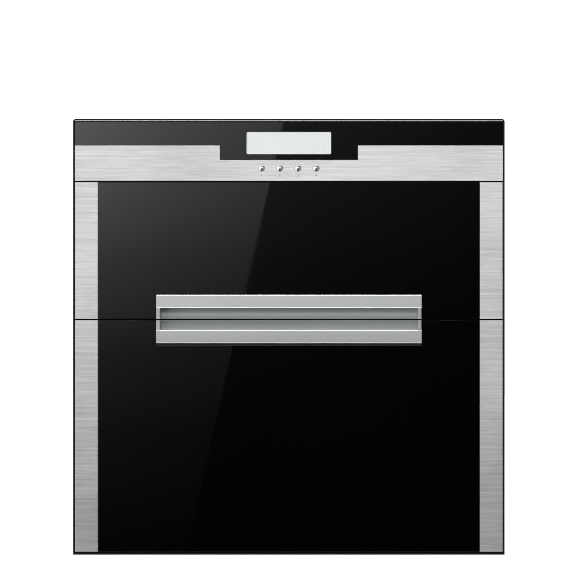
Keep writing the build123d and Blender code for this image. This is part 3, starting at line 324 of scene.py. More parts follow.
@dataclass(frozen=True)
class Brushed(Finish):
    """Metal brushed in straight lines, with long scratches among short ones."""

    metallic: float = 1.0
    relief: float = 0.00001
    strength: float = 0.3
    long_share: Point = (0.35, 0.6, 0.6)
    long_offset: Point = (3.1, 1.7, 0.4)

    def pattern(self, sketch: Sketch, coords: bpy.types.NodeSocket) -> bpy.types.NodeSocket:
        """Short and long lines laid over each other.

        Args:
            sketch: Tree being filled.
            coords: Object coordinates, in metres.

        Returns:
            Socket of the pattern.
        """
        short = sketch.add("ShaderNodeMapping", {"Vector": coords, "Scale": self.grain})
        longer = tuple(size * share for size, share in zip(self.grain, self.long_share))
        moved = {"Vector": coords, "Scale": longer, "Location": self.long_offset}
        long = sketch.add("ShaderNodeMapping", moved)
        a = sketch.noise(short.outputs[0], 1.0, 4.0, 0.7)
        b = sketch.noise(long.outputs[0], 1.0, 2.0, 0.6)
        return sketch.layer(a, b, 0.6)


@dataclass(frozen=True)
class Spangled(Finish):
    """Galvanised sheet with the crystal flowers of its zinc, whose scale leads its grain."""

    metallic: float = 1.0
    relief: float = 0.00001
    strength: float = 0.2

    def pattern(self, sketch: Sketch, coords: bpy.types.NodeSocket) -> bpy.types.NodeSocket:
        """Cells of zinc crystals.

        Args:
            sketch: Tree being filled.
            coords: Object coordinates, in metres.

        Returns:
            Socket of the pattern.
        """
        jitter = sketch.add("ShaderNodeTexNoise", {"Vector": coords, "Scale": 260.0, "Detail": 3.0})
        moved = sketch.add("ShaderNodeMix", {0: 0.012, 4: coords, 5: jitter.outputs["Color"]},
                           data_type="VECTOR")
        cells = sketch.add("ShaderNodeTexVoronoi", {"Vector": moved.outputs[1], "Scale": self.grain[0]})
        grey = sketch.add("ShaderNodeSeparateColor", {0: cells.outputs["Color"]}).outputs[0]
        return sketch.spread(grey, (0.0, 1.0), (0.25, 0.75))


@dataclass(frozen=True)
class Speckled(Finish):
    """Moulded or sprayed surface, whose grain leads with the scales of its pits and clouds."""

    relief: float = 0.00003

    def pattern(self, sketch: Sketch, coords: bpy.types.NodeSocket) -> bpy.types.NodeSocket:
        """Even pits.

        Args:
            sketch: Tree being filled.
            coords: Object coordinates, in metres.

        Returns:
            Socket of the pattern.
        """
        cells = sketch.add("ShaderNodeTexVoronoi", {"Vector": coords, "Scale": self.grain[0]})
        pits = sketch.ease(cells.outputs["Distance"], (0.0, 0.75), (0.2, 0.8))
        cloud = sketch.noise(coords, self.grain[1], 2.0)
        return sketch.layer(pits, cloud, 0.6)


@dataclass(frozen=True)
class Fibrous(Finish):
    """Matted wool, with fibres that cross at random."""

    def pattern(self, sketch: Sketch, coords: bpy.types.NodeSocket) -> bpy.types.NodeSocket:
        """Crossing fibres.

        Args:
            sketch: Tree being filled.
            coords: Object coordinates, in metres.

        Returns:
            Socket of the pattern.
        """
        first = sketch.add("ShaderNodeTexWave", {"Vector": coords, "Scale": 90.0, "Distortion": 18.0,
                                                 "Detail": 3.0})
        second = sketch.noise(coords, self.grain[0], 6.0, 0.8)
        return sketch.layer(first.outputs["Fac"], second, 0.4)


@dataclass(frozen=True)
class Circuit(Finish):
    """Circuit board, with copper runs showing through its green mask."""

    def pattern(self, sketch: Sketch, coords: bpy.types.NodeSocket) -> bpy.types.NodeSocket:
        """Runs and pads.

        Args:
            sketch: Tree being filled.
            coords: Object coordinates, in metres.

        Returns:
            Socket of the pattern.
        """
        bricks = sketch.add("ShaderNodeTexBrick",
                            {"Vector": coords, "Scale": self.grain[0], "Mortar Size": 0.03})
        return sketch.spread(bricks.outputs["Fac"], (0.0, 1.0), (0.3, 0.75))


@dataclass(frozen=True)
class DarkGlass(Finish):
    """Black-backed glass, nearly a mirror, with faint smears that only change its shine."""

    def shade(self, sketch: Sketch, shader: bpy.types.Node, fine: bpy.types.NodeSocket,
              wide: bpy.types.NodeSocket) -> None:
        """Smears in the shine and a slight cloud in the backing.

        Args:
            sketch: Tree being filled.
            shader: Surface shader.
            fine: Fine pattern.
            wide: Broad pattern.
        """
        colour = sketch.blend(sketch.spread(wide, (0.3, 0.7), (0.0, 1.0)), self.colour, self.tint)
        sketch.tree.links.new(colour, shader.inputs["Base Color"])
        smear = sketch.math("MULTIPLY", sketch.ease(wide, (0.45, 0.7)), fine)
        shine = sketch.spread(smear, (0.0, 0.6), self.roughness)
        sketch.tree.links.new(shine, shader.inputs["Roughness"])


@dataclass(frozen=True)
class ClearGlass(Finish):
    """Clear or frosted tube glass, with drawn lines along it."""

    grain: Point = (30.0, 900.0, 900.0)
    relief: float = 0.00001
    strength: float = 0.3
    clarity: float = 0.9

    def shade(self, sketch: Sketch, shader: bpy.types.Node, fine: bpy.types.NodeSocket,
              wide: bpy.types.NodeSocket) -> None:
        """Let light through and vary the shine.

        Args:
            sketch: Tree being filled.
            shader: Surface shader.
            fine: Fine pattern.
            wide: Broad pattern.
        """
        shader.inputs["Transmission Weight"].default_value = self.clarity
        shader.inputs["IOR"].default_value = 1.46
        super().shade(sketch, shader, fine, wide)


class Shop:
    """The cabinet's finishes."""

    steel = Brushed("brushed_steel", (0.42, 0.42, 0.42), (0.66, 0.66, 0.66), (0.44, 0.54),
                    grain=(24.0, 300.0, 560.0), strength=0.35, broad=6.0, contrast=0.13)
    liner = Brushed("liner_steel", (0.52, 0.53, 0.54), (0.66, 0.67, 0.68), (0.24, 0.38),
                    grain=(300.0, 18.0, 300.0), strength=0.25, broad=5.0)
    panel = Brushed("inner_panel_steel", (0.55, 0.56, 0.57), (0.68, 0.69, 0.70), (0.22, 0.34),
                    grain=(14.0, 300.0, 420.0), strength=0.25, broad=5.0)
    handle = Brushed("handle_aluminium", (0.37, 0.378, 0.383), (0.43, 0.438, 0.443), (0.32, 0.40),
                     grain=(9.0, 1500.0, 1500.0), relief=0.000006, strength=0.25, broad=4.0, coat=0.25)
    recess = Brushed("recess_satin", (0.40, 0.43, 0.42), (0.45, 0.48, 0.47), (0.45, 0.55), metallic=0.0,
                     grain=(9.0, 900.0, 900.0), relief=0.000006, strength=0.25, broad=4.0)
    edge = Brushed("polished_edge", (0.42, 0.425, 0.43), (0.48, 0.48, 0.48), (0.30, 0.36),
                   grain=(9.0, 1500.0, 1500.0), relief=0.000004, strength=0.2, broad=4.0)
    bright = Brushed("bright_edge", (0.80, 0.81, 0.82), (0.88, 0.88, 0.88), (0.10, 0.20),
                     grain=(20.0, 900.0, 900.0), relief=0.000006, strength=0.2)
    chrome = Finish("button_chrome", (0.82, 0.83, 0.84), (0.90, 0.90, 0.90), (0.04, 0.10), metallic=1.0,
                    grain=(1400.0, 1400.0, 1400.0), relief=0.000004, strength=0.15)
    wire = Finish("wire_chrome", (0.72, 0.73, 0.74), (0.84, 0.84, 0.84), (0.08, 0.20), metallic=1.0,
                  grain=(500.0, 500.0, 500.0), relief=0.00001, strength=0.3)
    zinc = Brushed("slide_zinc", (0.58, 0.60, 0.62), (0.72, 0.73, 0.72), (0.22, 0.36),
                   grain=(300.0, 22.0, 300.0))
    galvanised = Spangled("galvanised_sheet", (0.44, 0.455, 0.465), (0.58, 0.595, 0.605), (0.42, 0.52),
                          grain=(150.0, 150.0, 150.0), broad=4.0, contrast=0.3)
    motor = Brushed("motor_steel", (0.42, 0.42, 0.43), (0.58, 0.58, 0.58), (0.30, 0.45),
                    grain=(500.0, 60.0, 500.0), relief=0.00002)
    glass = DarkGlass("black_glass", (0.0006, 0.0007, 0.0008), (0.0010, 0.0011, 0.0012), (0.006, 0.014),
                      grain=(700.0, 700.0, 700.0), broad=5.0)
    coat = Speckled("black_coat", (0.0015, 0.0015, 0.0018), (0.004, 0.004, 0.0045), (0.45, 0.6),
                    grain=(1700.0, 240.0, 1.0), relief=0.00002, strength=0.35, specular=0.2)
    plastic = Speckled("black_plastic", (0.010, 0.010, 0.011), (0.018, 0.018, 0.019), (0.38, 0.55),
                       grain=(1500.0, 200.0, 1.0))
    core = Speckled("core_skin", (0.013, 0.013, 0.014), (0.022, 0.022, 0.023), (0.42, 0.6),
                    grain=(900.0, 160.0, 1.0))
    # The display pane wears a painted glow: it gives faint light though no lamp is behind it
    pane = Finish("display_pane", (0.76, 0.80, 0.785), (0.79, 0.825, 0.81), (0.16, 0.24),
                  grain=(220.0, 220.0, 220.0), relief=0.000003, strength=0.1, broad=9.0, coat=0.3,
                  glow=0.18)
    ink = Finish("dark_ink", (0.10, 0.10, 0.10), (0.15, 0.15, 0.15), (0.45, 0.6),
                 grain=(2200.0, 2200.0, 2200.0), relief=0.000005, strength=0.3)
    ceramic = Speckled("white_ceramic", (0.76, 0.74, 0.69), (0.84, 0.82, 0.78), (0.35, 0.5),
                       grain=(1200.0, 90.0, 1.0), relief=0.00004, strength=0.5)
    quartz = ClearGlass("quartz", (0.92, 0.93, 0.94), (0.97, 0.97, 0.98), (0.03, 0.10), clarity=0.85)
    lamp = ClearGlass("lamp_glass", (0.86, 0.90, 0.97), (0.93, 0.95, 0.99), (0.05, 0.14), clarity=0.6)
    filament = Brushed("filament", (0.30, 0.24, 0.19), (0.44, 0.35, 0.27), (0.35, 0.5), relief=0.00002,
                       strength=0.4)
    socket = Speckled("socket_plastic", (0.70, 0.70, 0.67), (0.78, 0.78, 0.75), (0.32, 0.45),
                      grain=(1300.0, 120.0, 1.0), strength=0.35)
    seal = Speckled("seal_rubber", (0.045, 0.046, 0.048), (0.07, 0.071, 0.073), (0.5, 0.68),
                    grain=(1100.0, 90.0, 1.0), relief=0.00004, strength=0.5)
    rubber = Speckled("foot_rubber", (0.02, 0.02, 0.02), (0.035, 0.035, 0.035), (0.6, 0.78),
                      grain=(1300.0, 120.0, 1.0), relief=0.00005, strength=0.5)
    wool = Fibrous("mineral_wool", (0.62, 0.58, 0.46), (0.82, 0.79, 0.68), (0.85, 0.97),
                   grain=(420.0, 420.0, 420.0), relief=0.0004, strength=0.8)
    board = Circuit("circuit_board", (0.020, 0.11, 0.045), (0.05, 0.22, 0.09), (0.28, 0.42),
                    grain=(160.0, 160.0, 160.0), relief=0.00003, coat=0.3)
    magnet = Finish("magnet_black", (0.025, 0.024, 0.024), (0.05, 0.048, 0.046), (0.45, 0.6), metallic=0.2,
                    relief=0.00003, strength=0.5)
    nylon = Speckled("tip_nylon", (0.55, 0.57, 0.58), (0.66, 0.68, 0.69), (0.35, 0.5),
                     grain=(1300.0, 120.0, 1.0), strength=0.3)


# ---------------------------------------------------------------- mesh making
class Mesh:
    """A mesh being built in millimetres, turned into a finished piece at the end."""

    def __init__(self) -> None:
        """Start with an empty mesh."""
        self.bm = bmesh.new()

    def loops(self, rows: list[list[Point]], cap_first: bool = True, cap_last: bool = True) -> None:
        """Skin a row of closed loops that have the same number of points.

        Args:
            rows: The loops, in order along the skin.
            cap_first: Close the first loop.
            cap_last: Close the last loop.
        """
        made = [[self.bm.verts.new(p) for p in row] for row in rows]
        count = len(rows[0])
        for a, b in zip(made, made[1:]):
            for i in range(count):
                j = (i + 1) % count
                self.bm.faces.new((a[i], a[j], b[j], b[i]))
        if cap_first:
            self.bm.faces.new(made[0][::-1])
        if cap_last:
            self.bm.faces.new(made[-1])

    def tube(self, rows: list[list[Point]]) -> None:
        """Skin closed loops, the last of which meets the first again.

        Args:
            rows: The loops, in order round the tube's wall.
        """
        self.loops(rows + rows[:1], False, False)
        bmesh.ops.remove_doubles(self.bm, verts=self.bm.verts, dist=SAME_POINT)

    def prism(self, outline: list[Flat], axis: str, limits: Flat) -> None:
        """Solid bar of a flat outline.

        Args:
            outline: Corners in the plane across the axis.
            axis: x, y or z; the outline is then (y, z), (x, z) or (x, y).
            limits: Ends of the bar along the axis.
        """
        along = "xyz".index(axis)
        self.loops([[(*p[:along], t, *p[along:]) for p in outline] for t in limits])

    def block(self, x: Flat, y: Flat, z: Flat) -> None:
        """Box between three pairs of limits."""
        self.prism([(x[0], y[0]), (x[1], y[0]), (x[1], y[1]), (x[0], y[1])], "z", z)

    def turn(self, profile: list[Flat], centre: Point, axis: str, sides: int = 32) -> None:
        """Solid of revolution.

        Args:
            profile: (radius, distance along the axis) points; a radius of 0 closes an end.
            centre: Start of the axis.
            axis: x, y or z.
            sides: Number of flats round it.
        """
        across = {"x": (1, 2), "y": (0, 2), "z": (0, 1)}[axis]
        along = {"x": 0, "y": 1, "z": 2}[axis]
        rows = []
        for radius, distance in profile:
            row = []
            for i in range(sides):
                angle = 2 * math.pi * i / sides
                point = list(centre)
                point[along] += distance
                point[across[0]] += max(radius, 0.001) * math.cos(angle)
                point[across[1]] += max(radius, 0.001) * math.sin(angle)
                row.append(tuple(point))
            rows.append(row)
        self.loops(rows)

    def plate(self, outlines: list[list[Flat]], y: Flat) -> None:
        """Flat plate across the front, with holes.

        Args:
            outlines: The edge and then any holes, as (x, z) points.
            y: Front and back of the plate.
        """
        edges = []
        for outline in outlines:
            ring = [self.bm.verts.new((p[0], y[0], p[1])) for p in outline]
            edges += [self.bm.edges.new((a, b)) for a, b in zip(ring, ring[1:] + ring[:1])]
        filled = bmesh.ops.triangle_fill(self.bm, use_beauty=True, use_dissolve=False, edges=edges)["geom"]
        faces = [f for f in filled if isinstance(f, bmesh.types.BMFace)]
        corners, sides = {v for f in faces for v in f.verts}, {e for f in faces for e in f.edges}
        bmesh.ops.dissolve_limit(self.bm, angle_limit=0.01, verts=list(corners), edges=list(sides))
        faces = [f for f in self.bm.faces if all(abs(v.co.y - y[0]) < 1e-6 for v in f.verts)]
        grown = bmesh.ops.extrude_face_region(self.bm, geom=faces)["geom"]
        for item in grown:
            if isinstance(item, bmesh.types.BMVert):
                item.co.y = y[1]
        bmesh.ops.reverse_faces(self.bm, faces=faces)

    def ease(self, width: float, segments: int = 2, angle: float = 30.0) -> "Mesh":
        """Round every edge that is sharper than an angle.

        Args:
            width: Width of the rounding.
            segments: Flats across it.
            angle: Smallest angle that is rounded, in degrees.

        Returns:
            The mesh itself.
        """
        bmesh.ops.recalc_face_normals(self.bm, faces=self.bm.faces)
        limit = math.radians(angle)
        sharp = [e for e in self.bm.edges if len(e.link_faces) == 2 and e.calc_face_angle(0.0) > limit]
        settings = {"segments": segments, "profile": 0.5, "affect": "EDGES", "clamp_overlap": True}
        bmesh.ops.bevel(self.bm, geom=sharp, offset=width, **settings)
        return self

    def finish(self, name: str, finish: Finish, smooth: float = 40.0,
               recalc: bool = True) -> bpy.types.Object:
        """Turn the mesh into an object, in metres at the origin.

        Args:
            name: Name of the piece.
            finish: Its finish.
            smooth: Angle below which faces shade smoothly, in degrees.
            recalc: Turn the faces outwards.

        Returns:
            The new object.
        """
        if recalc:
            bmesh.ops.recalc_face_normals(self.bm, faces=self.bm.faces)
        data = bpy.data.meshes.new(name)
        self.bm.to_mesh(data)
        self.bm.free()
        data.transform(Matrix.Scale(MM, 4))
        data.materials.append(finish.material())
        return link(name, data, smooth)


def link(name: str, data: bpy.types.Mesh, angle: float) -> bpy.types.Object:
    """Put a mesh in the scene, smooth below an angle and flat on its large faces.

    Args:
        name: Name of the piece.
        data: Its mesh.
        angle: The angle, in degrees.

    Returns:
        The piece.
    """
    data.polygons.foreach_set("use_smooth", [True] * len(data.polygons))
    data.set_sharp_from_angle(angle=math.radians(angle))
    made = bpy.data.objects.new(name, data)
    bpy.context.scene.collection.objects.link(made)
    weigh = made.modifiers.new("weigh", "WEIGHTED_NORMAL")
    weigh.mode = "FACE_AREA"
    weigh.weight = 100
    weigh.keep_sharp = True
    bake(made)
    return made


def bake(made: bpy.types.Object) -> None:
    """Turn a piece's modifiers into its plain mesh.

    Args:
        made: The piece.
    """
    graph = bpy.context.evaluated_depsgraph_get()
    whole = made.evaluated_get(graph)
    data = bpy.data.meshes.new_from_object(whole, preserve_all_data_layers=True, depsgraph=graph)
    data.name = made.name
    made.modifiers.clear()
    made.data = data


def arc(centre: Flat, radius: float, start: float, end: float, steps: int) -> list[Flat]:
    """Points of an arc, both ends included.

    Args:
        centre: Middle of the arc.
        radius: Its radius.
        start: First angle, in degrees.
        end: Last angle, in degrees.
        steps: Number of chords.

    Returns:
        The points.
    """
    turns = [math.radians(start + (end - start) * i / steps) for i in range(steps + 1)]
    return [(centre[0] + radius * math.cos(t), centre[1] + radius * math.sin(t)) for t in turns]


def rounded(x: Flat, z: Flat, radii: tuple[float, float, float, float] | float,
            steps: int = 5) -> list[Flat]:
    """Rectangle with rounded corners.

    Args:
        x: Limits across.
        z: Limits up.
        radii: One radius, or one each for bottom left, bottom right, top right and top left.
        steps: Chords in each corner.

    Returns:
        Its points, in order round it.
    """
    r = radii if isinstance(radii, tuple) else (radii,) * 4
    corners = ((x[0] + r[0], z[0] + r[0], r[0], 180.0), (x[1] - r[1], z[0] + r[1], r[1], 270.0),
               (x[1] - r[2], z[1] - r[2], r[2], 0.0), (x[0] + r[3], z[1] - r[3], r[3], 90.0))
    return [p for cx, cz, radius, turn in corners
            for p in arc((cx, cz), max(radius, 0.01), turn, turn + 90.0, steps)]


def grow(limits: Flat, by: float) -> Flat:
    """A pair of limits, moved apart by a distance at both ends."""
    return (limits[0] - by, limits[1] + by)


def shells(sections: list[tuple[float, float, float]], x: Flat, z: Flat,
           steps: int = 5) -> list[list[Point]]:
    """Loops of rounded rectangles, each grown from one pair of limits.

    Args:
        sections: (growth, corner radius, y) of each loop.
        x: Limits across.
        z: Limits up.
        steps: Chords in each corner.

    Returns:
        The loops as points.
    """
    rows = []
    for by, radius, y in sections:
        rows.append([(px, y, pz) for px, pz in rounded(grow(x, by), grow(z, by), radius, steps)])
    return rows


def cad_copy(node: str, name: str, finish: Finish, width: float, segments: int = 2,
             angle: float = 28.0) -> bpy.types.Object:
    """A node's shape with its edges eased, as a piece that stands for it.

    Args:
        node: Name of the CAD node.
        name: Name of the piece.
        finish: Its finish.
        width: Width of the eased edges, in millimetres.
        segments: Flats across each edge.
        angle: Smallest angle that is eased, in degrees.

    Returns:
        The piece.
    """
    made = Mesh()
    made.bm.from_mesh(bpy.data.objects[node].data)
    made.bm.transform(Matrix.Scale(1 / MM, 4))
    bmesh.ops.remove_doubles(made.bm, verts=made.bm.verts, dist=CAD_SAME_POINT)
    flat = math.radians(CAD_FLAT_ANGLE)
    bmesh.ops.dissolve_limit(made.bm, angle_limit=flat, verts=made.bm.verts, edges=made.bm.edges)
    return made.ease(width, segments, angle).finish(name, finish, FLAT_SMOOTH, recalc=False)


def settle(made: bpy.types.Object, body: str, slot: str, *nodes: str) -> bpy.types.Object:
    """Hang a finished piece on its body and hide the CAD nodes that it replaces.

    Args:
        made: The piece.
        body: Body that it rides on.
        slot: Name of its material slot; not used.
        nodes: CAD nodes that it replaces.

    Returns:
        The piece.
    """
    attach(made, body)
    if nodes:
        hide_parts(*nodes)
    LOG.info("%s rides %s, %d faces", made.name, body, len(made.data.polygons))
    return made


def stand_in(node: str, name: str, finish: Finish, slot: str, body: str = "cabinet", width: float = 0.3,
             segments: int = 2) -> None:
    """Replace a node by its own shape with eased edges.

    Args:
        node: Name of the CAD node.
        name: Name of the piece.
        finish: Its finish.
        slot: Name of its material slot.
        body: Body that it rides on.
        width: Width of the eased edges, in millimetres.
        segments: Flats across each edge.
    """
    settle(cad_copy(node, name, finish, width, segments), body, slot, node)


# ---------------------------------------------------------------- repeated pieces, made by geometry nodes
class Tree:
    """A geometry node tree with named inputs."""

    def __init__(self, name: str, inputs: dict[str, tuple[str, object]]) -> None:
        """Make the tree and its inputs.

        Args:
            name: Name of the tree.
            inputs: Socket type and starting value of each named input.
        """
        self.tree = bpy.data.node_groups.new(name, "GeometryNodeTree")
        self.sketch = Sketch(self.tree)
        self.tree.interface.new_socket("Geometry", in_out="INPUT", socket_type="NodeSocketGeometry")
        self.tree.interface.new_socket("Geometry", in_out="OUTPUT", socket_type="NodeSocketGeometry")
        for label, (kind, value) in inputs.items():
            socket = self.tree.interface.new_socket(label, in_out="INPUT", socket_type=kind)
            if value is not None:
                socket.default_value = value
        self.start = self.sketch.add("NodeGroupInput").outputs
        self.end = self.sketch.add("NodeGroupOutput").inputs

    def close(self, geometry: bpy.types.NodeSocket) -> None:
        """Realize, set the material and end the tree.

        Args:
            geometry: Socket of the finished geometry.
        """
        whole = self.sketch.add("GeometryNodeRealizeInstances", {0: geometry}).outputs[0]
        inputs = {"Geometry": whole, "Material": self.start["Material"]}
        done = self.sketch.add("GeometryNodeSetMaterial", inputs).outputs[0]
        self.tree.links.new(done, self.end[0])

    def grow(self, name: str, seed: bpy.types.Mesh, smooth: float, **values: object) -> bpy.types.Object:
        """Run the tree on a mesh and keep the result as a plain mesh.

        Args:
            name: Name of the piece.
            seed: Mesh that the tree starts from, in metres.
            smooth: Angle below which faces shade smoothly, in degrees.
            values: Values of the named inputs, spaces written as underscores.

        Returns:
            The piece.
        """
        carrier = bpy.data.objects.new(f"{name}_seed", seed)
        bpy.context.scene.collection.objects.link(carrier)
        modifier = carrier.modifiers.new("grow", "NODES")
        modifier.node_group = self.tree
        for item in self.tree.interface.items_tree:
            key = item.name.replace(" ", "_")
            if item.item_type == "SOCKET" and item.in_out == "INPUT" and key in values:
                modifier[item.identifier] = values[key]
        graph = bpy.context.evaluated_depsgraph_get()
        data = bpy.data.meshes.new_from_object(carrier.evaluated_get(graph), depsgraph=graph)
        data.name = name
        bpy.data.objects.remove(carrier)
        return link(name, data, smooth)


class Wirework:
    """Round wires that follow polylines, with bent corners."""

    def __init__(self) -> None:
        """Build the tree once."""
        inputs = {"Radius": ("NodeSocketFloat", 0.0016), "Bend": ("NodeSocketFloat", 0.004),
                  "Sides": ("NodeSocketInt", 12), "Material": ("NodeSocketMaterial", None)}
        self.tree = Tree("wirework", inputs)
        add, start = self.tree.sketch.add, self.tree.start
        curve = add("GeometryNodeMeshToCurve", {0: start["Geometry"]}).outputs[0]
        bent = {"Curve": curve, "Count": 5, "Radius": start["Bend"], "Limit Radius": True}
        curve = add("GeometryNodeFilletCurve", bent, mode="POLY").outputs[0]
        ring = add("GeometryNodeCurvePrimitiveCircle",
                   {"Resolution": start["Sides"], "Radius": start["Radius"]})
        skin = {"Curve": curve, "Profile Curve": ring.outputs[0], "Fill Caps": True}
        self.tree.close(add("GeometryNodeCurveToMesh", skin).outputs[0])

    def run(self, name: str, paths: list[list[Point]], radius: float, finish: Finish, bend: float = 4.0,
            closed: bool = False, sides: int = 12) -> bpy.types.Object:
        """Make wires along paths.

        Args:
            name: Name of the piece.
            paths: Corner points of each wire, in millimetres.
            radius: Radius of the wire, in millimetres.
            finish: Its finish.
            bend: Radius of the bends, in millimetres.
            closed: Join each path's end to its start.
            sides: Flats round the wire.

        Returns:
            The piece.
        """
        seed = bpy.data.meshes.new(f"{name}_paths")
        points, edges = [], []
        for path in paths:
            first = len(points)
            points += [tuple(c * MM for c in p) for p in path]
            edges += [(first + i, first + i + 1) for i in range(len(path) - 1)]
            if closed:
                edges.append((first + len(path) - 1, first))
        seed.from_pydata(points, edges, [])
        return self.tree.grow(name, seed, 50.0, Radius=radius * MM, Bend=bend * MM, Sides=sides,
                              Material=finish.material())


class Rows:
    """Copies of one small part on points, each turned to face its way."""

    def __init__(self) -> None:
        """Build the tree once."""
        inputs = {"Part": ("NodeSocketObject", None), "Twist": ("NodeSocketFloat", 3.14),
                  "Seed": ("NodeSocketInt", 7), "Material": ("NodeSocketMaterial", None)}
        self.tree = Tree("rows", inputs)
        add, start = self.tree.sketch.add, self.tree.start
        facing = add("GeometryNodeInputNamedAttribute", {"Name": "facing"},
                     data_type="FLOAT_VECTOR").outputs[0]
        turned = add("FunctionNodeAlignRotationToVector", {"Vector": facing}, axis="Z").outputs[0]
        spin = add("FunctionNodeRandomValue", {2: 0.0, 3: start["Twist"], "Seed": start["Seed"]},
                   data_type="FLOAT").outputs[1]
        local = add("FunctionNodeAxisAngleToRotation", {"Axis": (0.0, 0.0, 1.0), "Angle": spin}).outputs[0]
        whole = add("FunctionNodeRotateRotation", {0: turned, 1: local}, rotation_space="LOCAL").outputs[0]
        part = add("GeometryNodeObjectInfo", {"Object": start["Part"]},
                   transform_space="ORIGINAL").outputs["Geometry"]
        placed = {"Points": start["Geometry"], "Instance": part, "Rotation": whole}
        self.tree.close(add("GeometryNodeInstanceOnPoints", placed).outputs[0])

    def run(self, name: str, part: bpy.types.Object, places: list[tuple[Point, Point]], finish: Finish,
            twist: float = 3.14) -> bpy.types.Object:
        """Copy a part onto places.

        Args:
            name: Name of the piece.
            part: Part made at the origin, facing +Z, in metres.
            places: Point in millimetres and facing direction of each copy.
            finish: Finish of the copies.
            twist: Largest turn about the facing direction, in radians.

        Returns:
            The piece.
        """
        seed = bpy.data.meshes.new(f"{name}_places")
        seed.from_pydata([tuple(c * MM for c in p) for p, _ in places], [], [])
        facing = seed.attributes.new("facing", "FLOAT_VECTOR", "POINT")
        facing.data.foreach_set("vector", [c for _, way in places for c in way])
        return self.tree.grow(name, seed, 40.0, Part=part, Twist=twist, Material=finish.material())


@dataclass
class ScrewBox:
    """Small fasteners that the sub-assemblies share."""

    radius: float = 3.2
    height: float = 1.6
    sides: int = 32
    dome: tuple[Flat, ...] = ((1.0, 0.0), (1.0, 0.35), (0.93, 0.65), (0.78, 0.88), (0.6, 1.0), (0.5, 1.0))
    recess: tuple[Flat, ...] = ((1.0, 1.0), (0.35, 0.75))
    core: float = 0.16
    lobe: float = 0.28
    rows: Rows = field(default_factory=Rows)

    def head(self, name: str, scale: float) -> bpy.types.Object:
        """Pan head with a cross recess, at the origin and facing +Z, kept out of the scene.

        Args:
            name: Name of the part.
            scale: Size against a 4 mm screw.

        Returns:
            The part.
        """
        made = Mesh()
        r, h, step = self.radius * scale, self.height * scale, 360 / self.sides
        rows = []
        for share, level in self.dome:
            rim = arc((0, 0), r * share, 0, 360 - step, self.sides - 1)
            rows.append([(x, y, level * h) for x, y in rim])
        for depth, share in self.recess:
            row = []
            for i in range(self.sides):
                turn = math.radians(i * step)
                lobe = 0.5 + 0.5 * math.cos(4 * turn)
                reach = r * share * (self.core + self.lobe * lobe**2)
                row.append((reach * math.cos(turn), reach * math.sin(turn), depth * h))
            rows.append(row)
        made.loops(rows)
        part = made.finish(name, Shop.zinc, 35.0)
        bpy.context.scene.collection.objects.unlink(part)
        return part

    def place(self, name: str, body: str, places: list[tuple[Point, Point]], scale: float = 1.0) -> None:
        """Set screws on places and hang them on a body.

        Args:
            name: Name of the piece.
            body: Body that it rides on.
            places: Point in millimetres and facing direction of each screw.
            scale: Size against a 4 mm screw.
        """
        held = self.rows.run(name, self.head(f"{name}_head", scale), places, Shop.zinc)
        settle(held, body, "slide_zinc")


